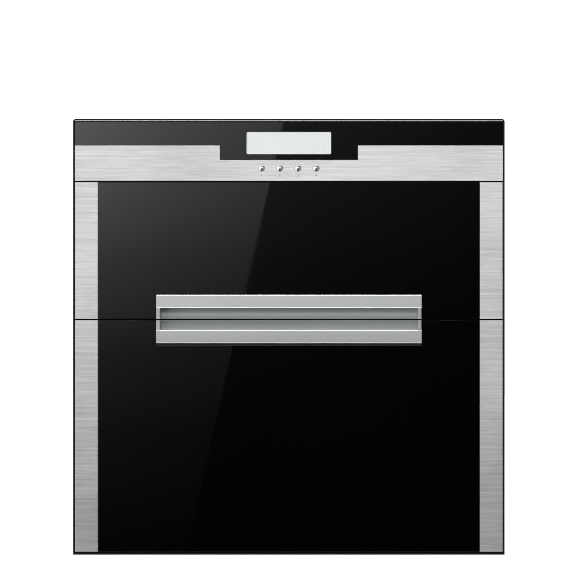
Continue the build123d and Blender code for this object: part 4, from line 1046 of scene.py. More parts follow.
# ---------------------------------------------------------------- studio
@dataclass
class Studio:
    """White room, soft lights and the camera."""

    distance: float = 6.0
    eye_z: float = 0.3637
    eye_x: float = 0.0002
    frame_height: float = 0.8022
    edge_top: Flat = (-8.06, 595.2)
    edge_slope: float = 0.2257
    edge_blur: Flat = (-1.5, 1.5)
    shade_level: float = 0.27
    card_reach: Flat = (-0.9935, -0.985)
    card_z: Flat = (0.0, 700.0)
    card_stops: tuple[Flat, ...] = ((0.0, 0.008), (0.245, 0.052), (0.40, 0.13), (0.58, 0.37), (0.73, 0.74),
                                    (0.86, 1.0))
    card_left: float = 253.0
    card_fall: float = 0.0033
    card_level: float = 2.0
    floor_front: float = -234.0
    floor_reach: float = 6000.0
    floor_back: float = 9000.0
    floor_glow: float = 0.62
    left_edge: Flat = (-0.42, -0.16)
    left_level: float = 1.15
    front_level: float = 0.08
    right_edge: Flat = (0.08, 0.28)
    right_level: float = 0.17
    far_right_edge: Flat = (0.72, 0.92)
    far_right_drop: float = 0.20
    back_edge: Flat = (-0.35, -0.15)
    back_level: float = 0.75
    above_edge: Flat = (0.55, 0.9)
    above_level: float = 1.15
    ground_edge: Flat = (-0.80, -0.62)
    ground_share: float = 0.22
    camera_level: float = 1.05
    lamp_place: Point = (-0.05, -2.00, 1.00)
    lamp_aim: Point = (-0.05, -0.23, 0.40)
    lamp_size: Flat = (1.5, 0.4)
    lamp_power: float = 1.02
    lamp_spread: float = 36.0

    def build(self) -> None:
        """Make everything that isn't the cabinet."""
        self.camera()
        self.world()
        self.floor()
        self.lights()
        scene = bpy.context.scene
        scene.view_settings.view_transform = "Standard"
        scene.view_settings.look = "None"
        scene.cycles.filter_width = 0.9

    def camera(self) -> None:
        """Long lens square on to the front."""
        data = bpy.data.cameras.new("camera")
        data.sensor_fit = "VERTICAL"
        data.sensor_height = 24.0
        data.lens = data.sensor_height * self.distance / self.frame_height
        data.clip_end = 60.0
        made = bpy.data.objects.new("camera", data)
        made.location = (self.eye_x, PLAN.glass_y * MM - self.distance, self.eye_z)
        made.rotation_euler = (math.pi / 2, 0.0, 0.0)
        bpy.context.scene.collection.objects.link(made)
        bpy.context.scene.camera = made

    def world(self) -> None:
        """White surroundings, with a shaded side and a soft card before the front."""
        made = bpy.data.worlds.new("studio")
        made.use_nodes = True
        bpy.context.scene.world = made
        made.node_tree.nodes.clear()
        s = Sketch(made.node_tree)
        way = s.add("ShaderNodeTexCoord").outputs["Generated"]
        x, y, z = s.add("ShaderNodeSeparateXYZ", {0: way}).outputs
        near = s.ease(y, self.card_reach, (1.0, 0.0))
        light = s.fade(self.room(s, x, y, z), self.card(s, x, y, z), near)
        seen = s.add("ShaderNodeLightPath").outputs["Is Camera Ray"]
        strength = s.math("MAXIMUM", light, s.math("MULTIPLY", seen, self.camera_level))
        shader = s.add("ShaderNodeBackground", {"Color": (1.0, 1.0, 1.0, 1.0), "Strength": strength})
        out = s.add("ShaderNodeOutputWorld")
        made.node_tree.links.new(shader.outputs[0], out.inputs[0])

    def card(self, s: Sketch, x: object, y: object, z: object) -> bpy.types.NodeSocket:
        """Soft card before the front: the slanted patch of light that the glass mirrors.

        Args:
            s: Tree being filled.
            x: Direction's part to the right.
            y: Its part to the back.
            z: Its part upwards.

        Returns:
            Socket of its brightness.
        """
        reach = self.distance / MM
        depth = s.math("MAXIMUM", s.math("MULTIPLY", y, -1.0), 0.05)
        glass_x = s.math("MULTIPLY", s.math("DIVIDE", x, depth), reach)
        rise = s.math("MULTIPLY", s.math("DIVIDE", z, depth), reach)
        glass_z = s.math("ADD", rise, self.eye_z / MM)
        drop = s.math("MULTIPLY", s.math("SUBTRACT", glass_z, self.edge_top[1]), self.edge_slope)
        line = s.math("ADD", drop, self.edge_top[0])
        left = s.ease(s.math("SUBTRACT", line, glass_x), self.edge_blur, (self.shade_level, 1.0))
        ramp = s.add("ShaderNodeValToRGB", {0: s.spread(glass_z, self.card_z, (0.0, 1.0))})
        elements, last = ramp.color_ramp.elements, len(self.card_stops) - 1
        ends = {0: 0, last: -1}
        for index, (place, value) in enumerate(self.card_stops):
            element = elements[ends[index]] if index in ends else elements.new(place)
            element.position = place
            element.color = (value, value, value, 1.0)
        away = s.math("MULTIPLY", s.math("ADD", glass_x, self.card_left), -self.card_fall)
        fall = s.math("EXPONENT", away)
        patch = s.math("MULTIPLY", left, ramp.outputs[0])
        return s.math("MULTIPLY", patch, s.math("MULTIPLY", fall, self.card_level))

    def room(self, s: Sketch, x: object, y: object, z: object) -> bpy.types.NodeSocket:
        """Walls, ceiling and ground: bright at the left and above, dark before the front.

        Args:
            s: Tree being filled.
            x: Direction's part to the right.
            y: Its part to the back.
            z: Its part upwards.

        Returns:
            Socket of their brightness.
        """
        side = s.ease(x, self.left_edge, (self.left_level, self.front_level))
        side = s.math("ADD", side, s.ease(x, self.right_edge, (0.0, self.right_level)))
        side = s.math("SUBTRACT", side, s.ease(x, self.far_right_edge, (0.0, self.far_right_drop)))
        walls = s.fade(side, self.back_level, s.ease(y, self.back_edge))
        room = s.fade(walls, self.above_level, s.ease(z, self.above_edge))
        return s.math("MULTIPLY", room, s.ease(z, self.ground_edge, (self.ground_share, 1.0)))

    def floor(self) -> None:
        """Pale floor, wide and level."""
        made = Mesh()
        wide, front, back = self.floor_reach, self.floor_front, self.floor_back
        ring = [(-wide, front), (wide, front), (wide, back), (-wide, back)]
        made.bm.faces.new([made.bm.verts.new((x, y, 0.0)) for x, y in ring])
        white = bpy.data.materials.new("pale_floor")
        white.use_nodes = True
        s = Sketch(white.node_tree)
        shader = white.node_tree.nodes["Principled BSDF"]
        coords = s.add("ShaderNodeTexCoord").outputs["Object"]
        tone = s.blend(s.noise(coords, 3.0), (0.90, 0.90, 0.90), (0.93, 0.93, 0.93))
        white.node_tree.links.new(tone, shader.inputs["Base Color"])
        shader.inputs["Roughness"].default_value = 0.8
        shader.inputs["Emission Color"].default_value = (1.0, 1.0, 1.0, 1.0)
        shader.inputs["Emission Strength"].default_value = self.floor_glow
        plate = made.finish("floor", Shop.pane)
        plate.data.materials.clear()
        plate.data.materials.append(white)
        if plate.data.polygons[0].normal.z < 0:
            plate.data.flip_normals()

    def lights(self) -> None:
        """Soft lamps over the front and behind the cabinet."""
        front = (self.lamp_place, self.lamp_aim, self.lamp_size, self.lamp_power, self.lamp_spread)
        self.area("front_soft", *front)
        self.area("rear_soft", (0.6, 2.2, 1.9), (0.0, 0.2, 0.3), (1.6, 1.6), 9.0, 180.0)

    def area(self, name: str, place: Point, aim: Point, size: Flat, power: float, spread: float) -> None:
        """One soft lamp.

        Args:
            name: Name of the lamp.
            place: Where it hangs, in metres.
            aim: Point that it faces, in metres.
            size: Its width and height, in metres.
            power: Its power, in watts.
            spread: Width of its beam, in degrees.
        """
        data = bpy.data.lights.new(name, "AREA")
        data.shape = "RECTANGLE"
        data.size, data.size_y = size
        data.energy = power
        data.spread = math.radians(spread)
        made = bpy.data.objects.new(name, data)
        made.location = place
        made.rotation_euler = (Vector(aim) - Vector(place)).to_track_quat("-Z", "Y").to_euler()
        bpy.context.scene.collection.objects.link(made)


# ---------------------------------------------------------------- front
@dataclass
class FrontEdge:
    """Thin black edge round the front, and the black plate behind it."""

    side: float = 2.2
    head: float = 1.8
    foot: float = 3.0
    bottom: float = 0.2
    radius: float = 4.0
    setback: float = 1.0

    def build(self) -> None:
        """Make the edge as one ring and ease the plate."""
        made = Mesh()
        x, z = (-PLAN.half, PLAN.half), (self.bottom, PLAN.top)
        inner_x = (x[0] + self.side, x[1] - self.side)
        inner_z = (z[0] + self.foot, z[1] - self.head)
        front, back = PLAN.glass_y + self.setback, PLAN.frame_y
        outline, hole = (0.4, 0.4, self.radius, self.radius), (0.3, 0.3, 2.4, 2.4)
        wide = [rounded(grow(x, -by), grow(z, -by), outline) for by in (0.0, 0.0, 0.25)]
        open_ = [rounded(grow(inner_x, by), grow(inner_z, by), hole) for by in (0.4, 0.0, 0.0)]
        depths = (back, front + 0.25, front)
        rows = [[(px, y, pz) for px, pz in ring] for ring, y in zip(wide, depths)]
        rows += [[(px, y, pz) for px, pz in ring] for ring, y in zip(open_, (front, front + 0.4, back))]
        made.tube(rows)
        settle(made.finish("bezel", Shop.coat), "cabinet", "black_coat", "front_bezel")
        stand_in("front_frame", "carrier_plate", Shop.coat, "black_coat", width=0.25, segments=1)


@dataclass
class ControlPanel:
    """Black glass strip, stainless fascia, display, buttons and what is behind them."""

    glass_top: float = 596.5
    glass_bottom: float = 564.5
    notch_half: float = 95.0
    notch_bottom: float = 544.5
    fascia_bottom: float = 515.6
    strip: Flat = (598.3, 598.95)
    window_z: float = 567.6
    window_size: Flat = (116.6, 30.6)
    window_radius: float = 2.0
    button_z: float = 533.0
    button_xs: tuple[float, ...] = (-37.5, -12.5, 12.5, 37.5)
    button_radius: float = 4.5
    hole_radius: float = 4.8
    board_depth: float = 16.1
    board_screw_zs: Flat = (527.0, 578.9)
    numeral_z: float = 522.9
    numeral_height: float = 3.4

    def notch(self, clear: float) -> list[Flat]:
        """Line between glass and fascia, left to right, drawn back by a clearance."""
        half, low, high = self.notch_half - clear, self.notch_bottom + clear, self.glass_bottom + clear
        wide = PLAN.door_half
        return [(-wide, high), (-half, high), (-half, low), (half, low), (half, high), (wide, high)]

    def window(self, grow_by: float) -> list[Flat]:
        """Edge of the display window, grown by a distance."""
        half_x, half_z = self.window_size[0] / 2 + grow_by, self.window_size[1] / 2 + grow_by
        z = (self.window_z - half_z, self.window_z + half_z)
        return rounded((-half_x, half_x), z, self.window_radius + grow_by)

    def build(self, screws: ScrewBox) -> None:
        """Make the panel.

        Args:
            screws: Fasteners for the boards.
        """
        self.glass()
        self.fascia()
        self.display()
        for number, x in enumerate(self.button_xs, start=1):
            self.button(number, x)
        self.numerals()
        strip = Mesh()
        wide = (-PLAN.door_half, PLAN.door_half)
        strip.block(wide, (PLAN.glass_y, PLAN.core_y), self.strip)
        settle(strip.ease(0.1, 1).finish("bright_strip", Shop.handle), "cabinet", "bright_trim", "top_trim")
        stand_in("control_housing", "panel_tray", Shop.plastic, "black_plastic", segments=1)
        stand_in("control_board", "key_board", Shop.board, "circuit_board", width=0.2, segments=1)
        xs, y = (-self.notch_half + 8, self.notch_half - 8), PLAN.glass_y + self.board_depth
        places = [((x, y, z), BACKWARD) for x in xs for z in self.board_screw_zs]
        screws.place("board_screws", "cabinet", places, 0.8)

    def glass(self) -> None:
        """Black strip with its notch, its window and ground edges."""
        top = [(PLAN.door_half, self.glass_top), (-PLAN.door_half, self.glass_top)]
        pane = Mesh()
        pane.plate([self.notch(0.0) + top, self.window(0.2)], (PLAN.glass_y, PLAN.core_y))
        pane.ease(0.3, 2)
        settle(pane.finish("control_strip", Shop.glass, FLAT_SMOOTH), "cabinet", "black_glass",
               "control_glass")

    def fascia(self) -> None:
        """Brushed plate with rolled edges and four button holes."""
        holes = [arc((x, self.button_z), self.hole_radius, 0, 345, 23) for x in self.button_xs]
        low = [(-PLAN.door_half, self.fascia_bottom), (PLAN.door_half, self.fascia_bottom)]
        plate = Mesh()
        plate.plate([self.notch(-0.2)[::-1] + low, *holes], (PLAN.glass_y, PLAN.core_y))
        plate.ease(0.7, 3)
        settle(plate.finish("fascia", Shop.steel, FLAT_SMOOTH), "cabinet", "brushed_stainless",
               "control_fascia")

    def display(self) -> None:
        """Pale pane with a painted glow and a raised lip round it."""
        pane, front = Mesh(), PLAN.glass_y + 0.2
        half_x, half_z = self.window_size[0] / 2, self.window_size[1] / 2
        x, z = (-half_x, half_x), (self.window_z - half_z, self.window_z + half_z)
        sections = [(0.0, self.window_radius, PLAN.core_y), (0.0, self.window_radius, front + 0.3),
                    (-0.25, 1.8, front), (-1.2, 1.2, front), (-1.6, 1.0, front + 0.35)]
        pane.loops(shells(sections, x, z))
        settle(pane.finish("display", Shop.pane, 25.0), "cabinet", "display_pane", "display_window")

    def button(self, number: int, x: float) -> None:
        """One domed button with its skirt and stem.

        Args:
            number: Which button, counted from the left.
            x: Place of its axis.
        """
        made, r, front = Mesh(), self.button_radius, PLAN.glass_y - 1.6
        dome = [(0.0, 0.0), (0.25 * r, 0.07), (0.45 * r, 0.23), (0.63 * r, 0.46), (0.78 * r, 0.72),
                (0.88 * r, 0.93), (0.95 * r, 1.14), (r, 1.4), (r, 2.9), (1.22 * r, 2.9), (1.22 * r, 3.9),
                (0.53 * r, 3.9), (0.53 * r, 11.0), (0.0, 11.0)]
        made.turn(dome, (x, front, self.button_z), "y", 48)
        name = f"button_{number}"
        settle(made.finish(f"push_{name}", Shop.chrome, 35.0), name, "button_chrome", name)

    def numerals(self) -> None:
        """Plain numbers under the buttons, inlaid as thin shapes."""
        whole = bmesh.new()
        for number, x in enumerate(self.button_xs, start=1):
            text = bpy.data.curves.new(f"numeral_{number}", "FONT")
            text.body = str(number)
            text.size = self.numeral_height * MM * 1.35
            text.extrude = 0.03 * MM
            text.align_x = "CENTER"
            text.align_y = "CENTER"
            carrier = bpy.data.objects.new(f"numeral_{number}", text)
            graph = bpy.context.evaluated_depsgraph_get()
            data = bpy.data.meshes.new_from_object(carrier.evaluated_get(graph))
            place = Matrix.Translation((x * MM, (PLAN.glass_y - 0.02) * MM, self.numeral_z * MM))
            data.transform(place @ Matrix.Rotation(math.pi / 2, 4, "X"))
            whole.from_mesh(data)
            bpy.data.objects.remove(carrier)
        data = bpy.data.meshes.new("numerals")
        whole.to_mesh(data)
        whole.free()
        data.materials.clear()
        data.materials.append(Shop.ink.material())
        made = bpy.data.objects.new("numerals", data)
        bpy.context.scene.collection.objects.link(made)
        settle(made, "cabinet", "black_plastic")


@dataclass
class HandleHalf:
    """One half of the shared aluminium handle: flat band, hooked trough and closed ends."""

    drawer: Drawer
    half: float = 182.8
    end: float = 5.2
    flat_end: float = 1.7
    lip: float = 3.0
    depth: float = 21.0
    wall: float = 2.0
    bead: float = 0.28
    rim: float = 1.05

    def section(self) -> list[Flat]:
        """Outline of the hollow part, as (y, z) points with polished rims along the band."""
        front, back = PLAN.handle_y, PLAN.handle_y + self.depth
        inner, lip, core = back - self.wall, PLAN.handle_y + self.lip, PLAN.core_y
        step, rim = self.bead, self.rim
        if self.drawer is Drawer.UPPER:
            low, band, high, pocket = 325.4, 340.4, 358.8, 351.6
            bend = pocket - self.wall - (inner - lip) / 3
            face = [(lip, bend), (lip, band + 0.5), (front + 0.7, band), (front + 0.05, band + 0.12),
                    (front, band + 0.3), (front + step, band + rim), (front + step, high - rim - 0.5),
                    (front + 2 * step, high - 0.4), (front + 1.2, high - 0.15)]
            rear = [(core, high - 0.15), (core, pocket), (back, pocket), (back, low), (inner - 5.6, low),
                    (inner - 6.0, low + 0.25), (inner - 6.0, low + 1.5), (inner - 5.5, low + 1.7)]
            sweep = self.curve((inner - 3.2, low + 1.9), (inner - 1.1, low + 4.6), (inner - 0.5, low + 8.6),
                               9)
            sweep += [(inner - 0.9, low + 12.0), (inner - 1.9, bend)]
            roof = self.curve((inner - 1.9, bend), ((inner + lip) / 2, pocket - self.wall), (lip, bend), 10)
            return face + rear + sweep[:-1] + roof[:-1]
        low, foot, band, high, pocket = 289.3, 292.0, 310.0, 323.4, 299.0
        heel = inner - 5.5
        bend = pocket + self.wall + (heel - lip) / 3
        face = [(core, pocket), (core, low), (PLAN.glass_y, low), (front + 0.8, foot - 0.6),
                (front, foot - 0.05), (front + 0.4 * step, foot + rim),
                (front + 0.4 * step, band - rim - 0.3), (front + 1.4 * step, band - 0.15),
                (front + 1.1, band), (lip, band - 0.5), (lip, bend)]
        floor = self.curve((lip, bend), ((lip + heel) / 2, pocket + self.wall), (heel, bend), 10)
        sweep = self.curve((heel, bend), (inner - 1.7, bend + 5.0), (inner - 1.0, bend + 9.0), 9)
        sweep += self.curve((inner - 1.0, bend + 9.0), (inner - 2.8, high - 4.4), (inner - 7.6, high - 0.5),
                            8)[1:]
        return face + floor[1:] + sweep[1:] + [(inner - 7.2, high), (back, high), (back, pocket)]

    @staticmethod
    def curve(a: Flat, through: Flat, b: Flat, steps: int) -> list[Flat]:
        """Smooth line from a to b that passes through a third point halfway."""
        mid = (2 * through[0] - (a[0] + b[0]) / 2, 2 * through[1] - (a[1] + b[1]) / 2)
        points = []
        for i in range(steps + 1):
            t = i / steps
            pull = ((1 - t) ** 2, 2 * t * (1 - t), t**2)
            points.append(tuple(pull[0] * a[k] + pull[1] * mid[k] + pull[2] * b[k] for k in (0, 1)))
        return points

    def build(self) -> None:
        """Make the bar and its two ends as one piece."""
        made = Mesh()
        made.prism(self.section(), "x", (-self.half, self.half))
        z = (325.4, 341.0) if self.drawer is Drawer.UPPER else (309.4, 323.4)
        z_in = (z[0] + 0.02, z[1]) if self.drawer is Drawer.UPPER else (z[0], z[1] - 0.02)
        front, back = PLAN.handle_y, PLAN.handle_y + self.depth - 0.5
        tip = self.half
        for side in (-1, 1):
            wedge = [(tip, front + 0.5), (tip - 0.4, front + 0.25), (tip - self.flat_end, front + 0.25),
                     (tip - self.flat_end - 0.3, front + 0.05), (tip - self.end + 0.5, front),
                     (tip - self.end, front + 0.4), (tip - self.end, back), (tip, back)]
            made.prism([(side * x, y) for x, y in wedge], "z", z_in)
        piece = made.finish(f"{self.drawer.label}_pull", Shop.handle, 22.0)
        piece.data.materials.append(Shop.recess.material())
        piece.data.materials.append(Shop.edge.material())
        for face in piece.data.polygons:
            face.material_index = self.finish_of(face.center / MM, face.normal)
        settle(piece, self.drawer.body, "handle_aluminium", f"{self.drawer.label}_handle")

    def finish_of(self, centre: Vector, normal: Vector) -> int:
        """Which finish a face wears: 0 satin band, 1 recess, 2 polished rim.

        Args:
            centre: Middle of the face, in millimetres.
            normal: Way that it faces.

        Returns:
            Index of the material.
        """
        depth = centre.y - PLAN.handle_y
        inset = self.half - abs(centre.x)
        if inset < self.end and depth < 0.3 and self.flat_end + 0.4 < inset:
            return 2
        if depth < 1.0 and inset > self.end + 1 and normal.y < -0.5:
            edges = (340.9, 357.8) if self.drawer is Drawer.UPPER else (292.4, 309.3)
            return 2 if any(abs(centre.z - edge) < 0.7 for edge in edges) else 0
        return 1 if depth > self.lip + 1.5 else 0


@dataclass
class DrawerFront:
    """Glass, stainless trims, core, inner panel, gasket, magnet and handle of one drawer."""

    drawer: Drawer
    trim_return: float = 12.0
    plug_half: float = 208.0
    plug_margin: float = 8.0
    notch_half: float = 183.2
    trim_inner: float = 263.1
    screw_half: float = 272.0
    screw_edge: float = 12.0

    def build(self, screws: ScrewBox) -> None:
        """Make the front.

        Args:
            screws: Fasteners for the inner panel.
        """
        name, body = self.drawer.label, self.drawer.body
        pane = Mesh()
        pane.plate([self.pane_outline()], (PLAN.glass_y, PLAN.core_y))
        pane.ease(0.3, 2)
        settle(pane.finish(f"{name}_door_glass", Shop.glass, FLAT_SMOOTH), body, "black_glass",
               f"{name}_glass")
        settle(self.trims(), body, "brushed_stainless", f"{name}_side_trims")
        stand_in(f"{name}_door_core", f"{name}_core", Shop.core, "foam_core", body, segments=1)
        settle(self.panel(), body, "brushed_stainless", f"{name}_door_panel")
        settle(self.gasket(), body, "seal_rubber", f"{name}_gasket")
        stand_in(f"{name}_magnet", f"{name}_door_magnet", Shop.magnet, "magnet_black", body, 0.5)
        HandleHalf(self.drawer).build()
        low, high = grow(self.drawer.front, -self.screw_edge)
        half, back, slide = self.screw_half, PLAN.door_back, self.drawer.slide_z
        places = [((x, back, z), BACKWARD) for x in (-half, half) for z in (low, (low + high) / 2, high)]
        tab, apart = PLAN.rail_half - 11.0, self.screw_edge
        places += [((x, back + 1.0, slide + dz), BACKWARD) for x in (-tab, tab) for dz in (-apart, apart)]
        screws.place(f"{name}_panel_screws", body, places, 0.9)

    def pane_outline(self) -> list[Flat]:
        """Edge of the glass, with the notch that the handle fills."""
        bottom, top = self.drawer.front
        wide, notch = PLAN.glass_half, self.notch_half
        if self.drawer is Drawer.UPPER:
            edge = 359.0
            return [(-wide, top), (-wide, bottom), (-notch, bottom), (-notch, edge), (notch, edge),
                    (notch, bottom), (wide, bottom), (wide, top)]
        edge = 289.1
        return [(-wide, bottom), (-wide, top), (-notch, top), (-notch, edge), (notch, edge), (notch, top),
                (wide, top), (wide, bottom)]

    def trims(self) -> bpy.types.Object:
        """Two brushed channels with rolled front edges."""
        made = Mesh()
        x, inner, sheet = PLAN.door_half, self.trim_inner, 1.0
        front, back = PLAN.glass_y, PLAN.door_back - sheet
        for side in (-1, 1):
            face = [(inner, front + sheet), (inner, front + 0.7), (inner + 0.25, front + 0.2),
                    (inner + 0.8, front)]
            corner = [(x - 0.9, front), (x - 0.25, front + 0.25), (x, front + 0.9)]
            rear = [(x, back), (x - self.trim_return, back), (x - self.trim_return, back - sheet),
                    (x - sheet, back - sheet), (x - sheet, front + sheet)]
            made.prism([(side * px, py) for px, py in face + corner + rear], "z", self.drawer.front)
        return made.finish(f"{self.drawer.label}_trims", Shop.steel, 25.0)

    def panel(self) -> bpy.types.Object:
        """Pressed inner panel whose plug rises with soft shoulders."""
        bottom, top = self.drawer.front
        low, high = self.drawer.chamber
        x = (-(PLAN.door_half - self.trim_return), PLAN.door_half - self.trim_return)
        made, y = Mesh(), PLAN.door_back
        outer = rounded(x, (bottom + 2, top - 2), 1.5)
        px, pz = (-self.plug_half, self.plug_half), (low + self.plug_margin, high - self.plug_margin)
        rows = [[(a, y - 1.0, b) for a, b in outer], [(a, y, b) for a, b in outer]]
        steps = ((0.0, 14.0, 0.0), (-0.5, 13.6, 0.15), (-0.9, 13.2, 0.6), (-2.6, 11.8, 4.2),
                 (-3.1, 11.4, 4.75), (-3.9, 11.0, 5.0), (-24.0, 8.0, 5.0), (-25.0, 7.5, 4.6),
                 (-26.5, 7.0, 4.0), (-28.0, 6.5, 4.0))
        for by, radius, rise in steps:
            rows.append([(a, y + rise, b) for a, b in rounded(grow(px, by), grow(pz, by), radius)])
        made.loops(rows)
        return made.finish(f"{self.drawer.label}_inner_panel", Shop.panel, 30.0)

    def gasket(self) -> bpy.types.Object:
        """Soft ring with a foot, a hollow-looking bulb and a thin lip."""
        low, high = self.drawer.chamber
        x, z = (-PLAN.chamber_half - 2, PLAN.chamber_half + 2), (low - 2, high + 2)
        back = PLAN.door_back
        profile = [(0.3, 0.05), (0.3, 0.7), (1.2, 0.9), (1.9, 1.5), (3.4, 2.05), (5.2, 2.15), (6.8, 1.9),
                   (7.7, 1.2), (8.6, 1.0), (9.7, 1.5), (9.7, 0.05)]
        rows = [[(a, back + y, b) for a, b in rounded(grow(x, by), grow(z, by), 3.0 + by)]
                for by, y in profile]
        made = Mesh()
        made.tube(rows)
        return made.finish(f"{self.drawer.label}_seal", Shop.seal, 50.0)


# ---------------------------------------------------------------- drawers
@dataclass
class DrawerBody:
    """Folded frame, wire rack and slides of one drawer."""

    drawer: Drawer
    rack_half: float = 227.3
    rack_y: Flat = (-197.5, 110.5)
    rim: float = 2.5
    wire: float = 1.6
    rim_height: float = 70.0
    cross: int = 15
    pins: int = 0
    pin_pitch: float = 27.0
    pin_top: float = 126.4
    pin_ys: Flat = (-69.2, 33.5)
    outer_screw_ys: Point = (-120.0, 0.0, 120.0)
    frame_screw_ys: Point = (-150.0, -40.0, 70.0)

    def seat(self) -> float:
        """Height of the plane that the rack stands on."""
        return self.drawer.slide_z - 24.0 + (1.0 if self.drawer is Drawer.LOWER else 0.0)

    @staticmethod
    def spread(limits: Flat, count: int) -> list[float]:
        """Evenly spaced places, half a step inside the limits."""
        step = (limits[1] - limits[0]) / count
        return [limits[0] + (i + 0.5) * step for i in range(count)]

    def build(self, wirework: Wirework, screws: ScrewBox) -> None:
        """Make the drawer's body.

        Args:
            wirework: Tree that makes the wires.
            screws: Fasteners of the slides.
        """
        name, body = self.drawer.label, self.drawer.body
        stand_in(f"{name}_drawer_frame", f"{name}_tub_frame", Shop.panel, "liner_steel", body)
        self.rack(wirework)
        for part, rides in (("outer", "cabinet"), ("mid", f"{name}_mid_rails"), ("inner", body)):
            slide = f"{name}_{part}_slide"
            stand_in(f"{name}_{part}_rails", slide, Shop.zinc, "slide_zinc", rides, 0.25)
        self.slide_details(screws)

    def loop(self, z: float) -> list[Point]:
        """Corners of a rim wire at a height."""
        x, y = self.rack_half, self.rack_y
        return [(0.0, y[0], z), (x, y[0], z), (x, y[1], z), (-x, y[1], z), (-x, y[0], z)]

    def rack(self, wirework: Wirework) -> None:
        """Wire basket with bent rims, posts, floor wires and, below, plate pins."""
        name, seat = self.drawer.label, self.seat()
        foot, rim = seat + self.rim, seat + self.rim_height - self.rim
        posts = (foot + self.rim * 0.8, rim - self.rim * 0.8)
        rims = wirework.run(f"{name}_rack_rims", [self.loop(foot), self.loop(rim)], self.rim, Shop.wire,
                            11.0, True, 20)
        settle(rims, self.drawer.body, "rack_chrome", f"{name}_rack")
        x, y = self.rack_half, self.rack_y
        paths = [[(side * x, py, posts[0]), (side * x, py, posts[1])] for py in self.spread(y, 5)
                 for side in (-1, 1)]
        paths += [[(px, end, posts[0]), (px, end, posts[1])] for px in self.spread((-x, x), 6) for end in y]
        level = seat + 2 * self.rim + self.wire
        paths += [[(px, y[0] + 1.6, level), (px, y[1] - 1.6, level)] for px in self.spread((-x, x), 4)]
        floor = level + 2 * self.wire
        for py in self.spread((y[0] + 12.8, y[1] - 12.8), self.cross):
            paths.append([(-x + 1.6, py, floor), (x - 1.6, py, floor)])
        tips = []
        for py in self.pin_ys if self.pins else ():
            for i in range(self.pins):
                px = (i - (self.pins - 1) / 2) * self.pin_pitch
                paths.append([(px, py, floor + self.wire * 0.6), (px, py, self.pin_top - 1.2)])
                tips.append(((px, py, self.pin_top - 6.0), (0.0, 0.0, 1.0)))
        wires = wirework.run(f"{name}_rack_wires", paths, self.wire, Shop.wire)
        settle(wires, self.drawer.body, "rack_chrome")
        if tips:
            cap = Mesh()
            r = self.wire + 0.7
            cap.turn([(r - 0.4, 0.0), (r, 0.4), (r, 4.4), (r * 0.86, 5.3), (r * 0.5, 5.85), (0.0, 6.0)],
                     (0, 0, 0), "z", 12)
            part = cap.finish("pin_tip", Shop.nylon)
            bpy.context.scene.collection.objects.unlink(part)
            settle(Rows().run(f"{name}_pin_tips", part, tips, Shop.nylon), self.drawer.body,
                   "socket_plastic")

    def slide_details(self, screws: ScrewBox) -> None:
        """Screws of the outer members in the chamber, and of the frame on the inner members."""
        name = self.drawer.label
        outer = self.facing_in(PLAN.chamber_half - 1.2, self.outer_screw_ys)
        screws.place(f"{name}_slide_screws", "cabinet", outer, 0.7)
        inner = self.facing_in(PLAN.rail_half - 1.0, self.frame_screw_ys)
        screws.place(f"{name}_frame_screws", self.drawer.body, inner, 0.9)

    def facing_in(self, half: float, ys: Point) -> list[tuple[Point, Point]]:
        """Places on the slides' middle line at both sides, each facing the middle."""
        z = self.drawer.slide_z
        return [((side * half, y, z), (-side, 0.0, 0.0)) for side in (-1, 1) for y in ys]


@dataclass
class DripTray:
    """Shallow tray under the lower rack, drawn with soft corners and low ribs."""

    half: float = 229.8
    y: Flat = (-200.0, 113.0)
    bowl_half: float = 216.8
    bowl_y: Flat = (-186.0, 100.0)
    top: float = 57.0
    ribs: int = 5
    rib_pitch: float = 70.0
    rib_y: Flat = (-170.0, 84.0)

    def build(self) -> None:
        """Make the tray."""
        made = Mesh()
        rows = []
        rim, bowl = ((-self.half, self.half), self.y), ((-self.bowl_half, self.bowl_half), self.bowl_y)
        steps = ((bowl, -3.5, 5.0, -11.95), (bowl, -1.0, 6.5, -11.0), (bowl, 0.0, 7.5, -9.5),
                 (bowl, 0.0, 7.5, -1.0), (rim, 0.0, 6.0, -1.0), (rim, 0.0, 6.0, -0.02),
                 (bowl, 0.5, 8.0, -0.02), (bowl, -0.6, 7.0, -0.5), (bowl, -1.0, 6.5, -1.6),
                 (bowl, -1.0, 6.5, -9.4), (bowl, -2.0, 6.0, -10.6), (bowl, -4.0, 4.5, -11.0))
        for (x, y), by, radius, dz in steps:
            rows.append([(a, b, self.top + dz) for a, b in rounded(grow(x, by), grow(y, by), radius)])
        made.loops(rows)
        z = self.top - 10.9
        for i in range(self.ribs):
            x = (i - (self.ribs - 1) / 2) * self.rib_pitch
            rib = [(x - 4, z - 0.08), (x - 2.5, z + 0.6), (x + 2.5, z + 0.6), (x + 4, z - 0.08)]
            made.prism(rib, "y", self.rib_y)
        settle(made.finish("catch_tray", Shop.panel, 30.0), "lower_drawer", "liner_steel", "drip_tray")


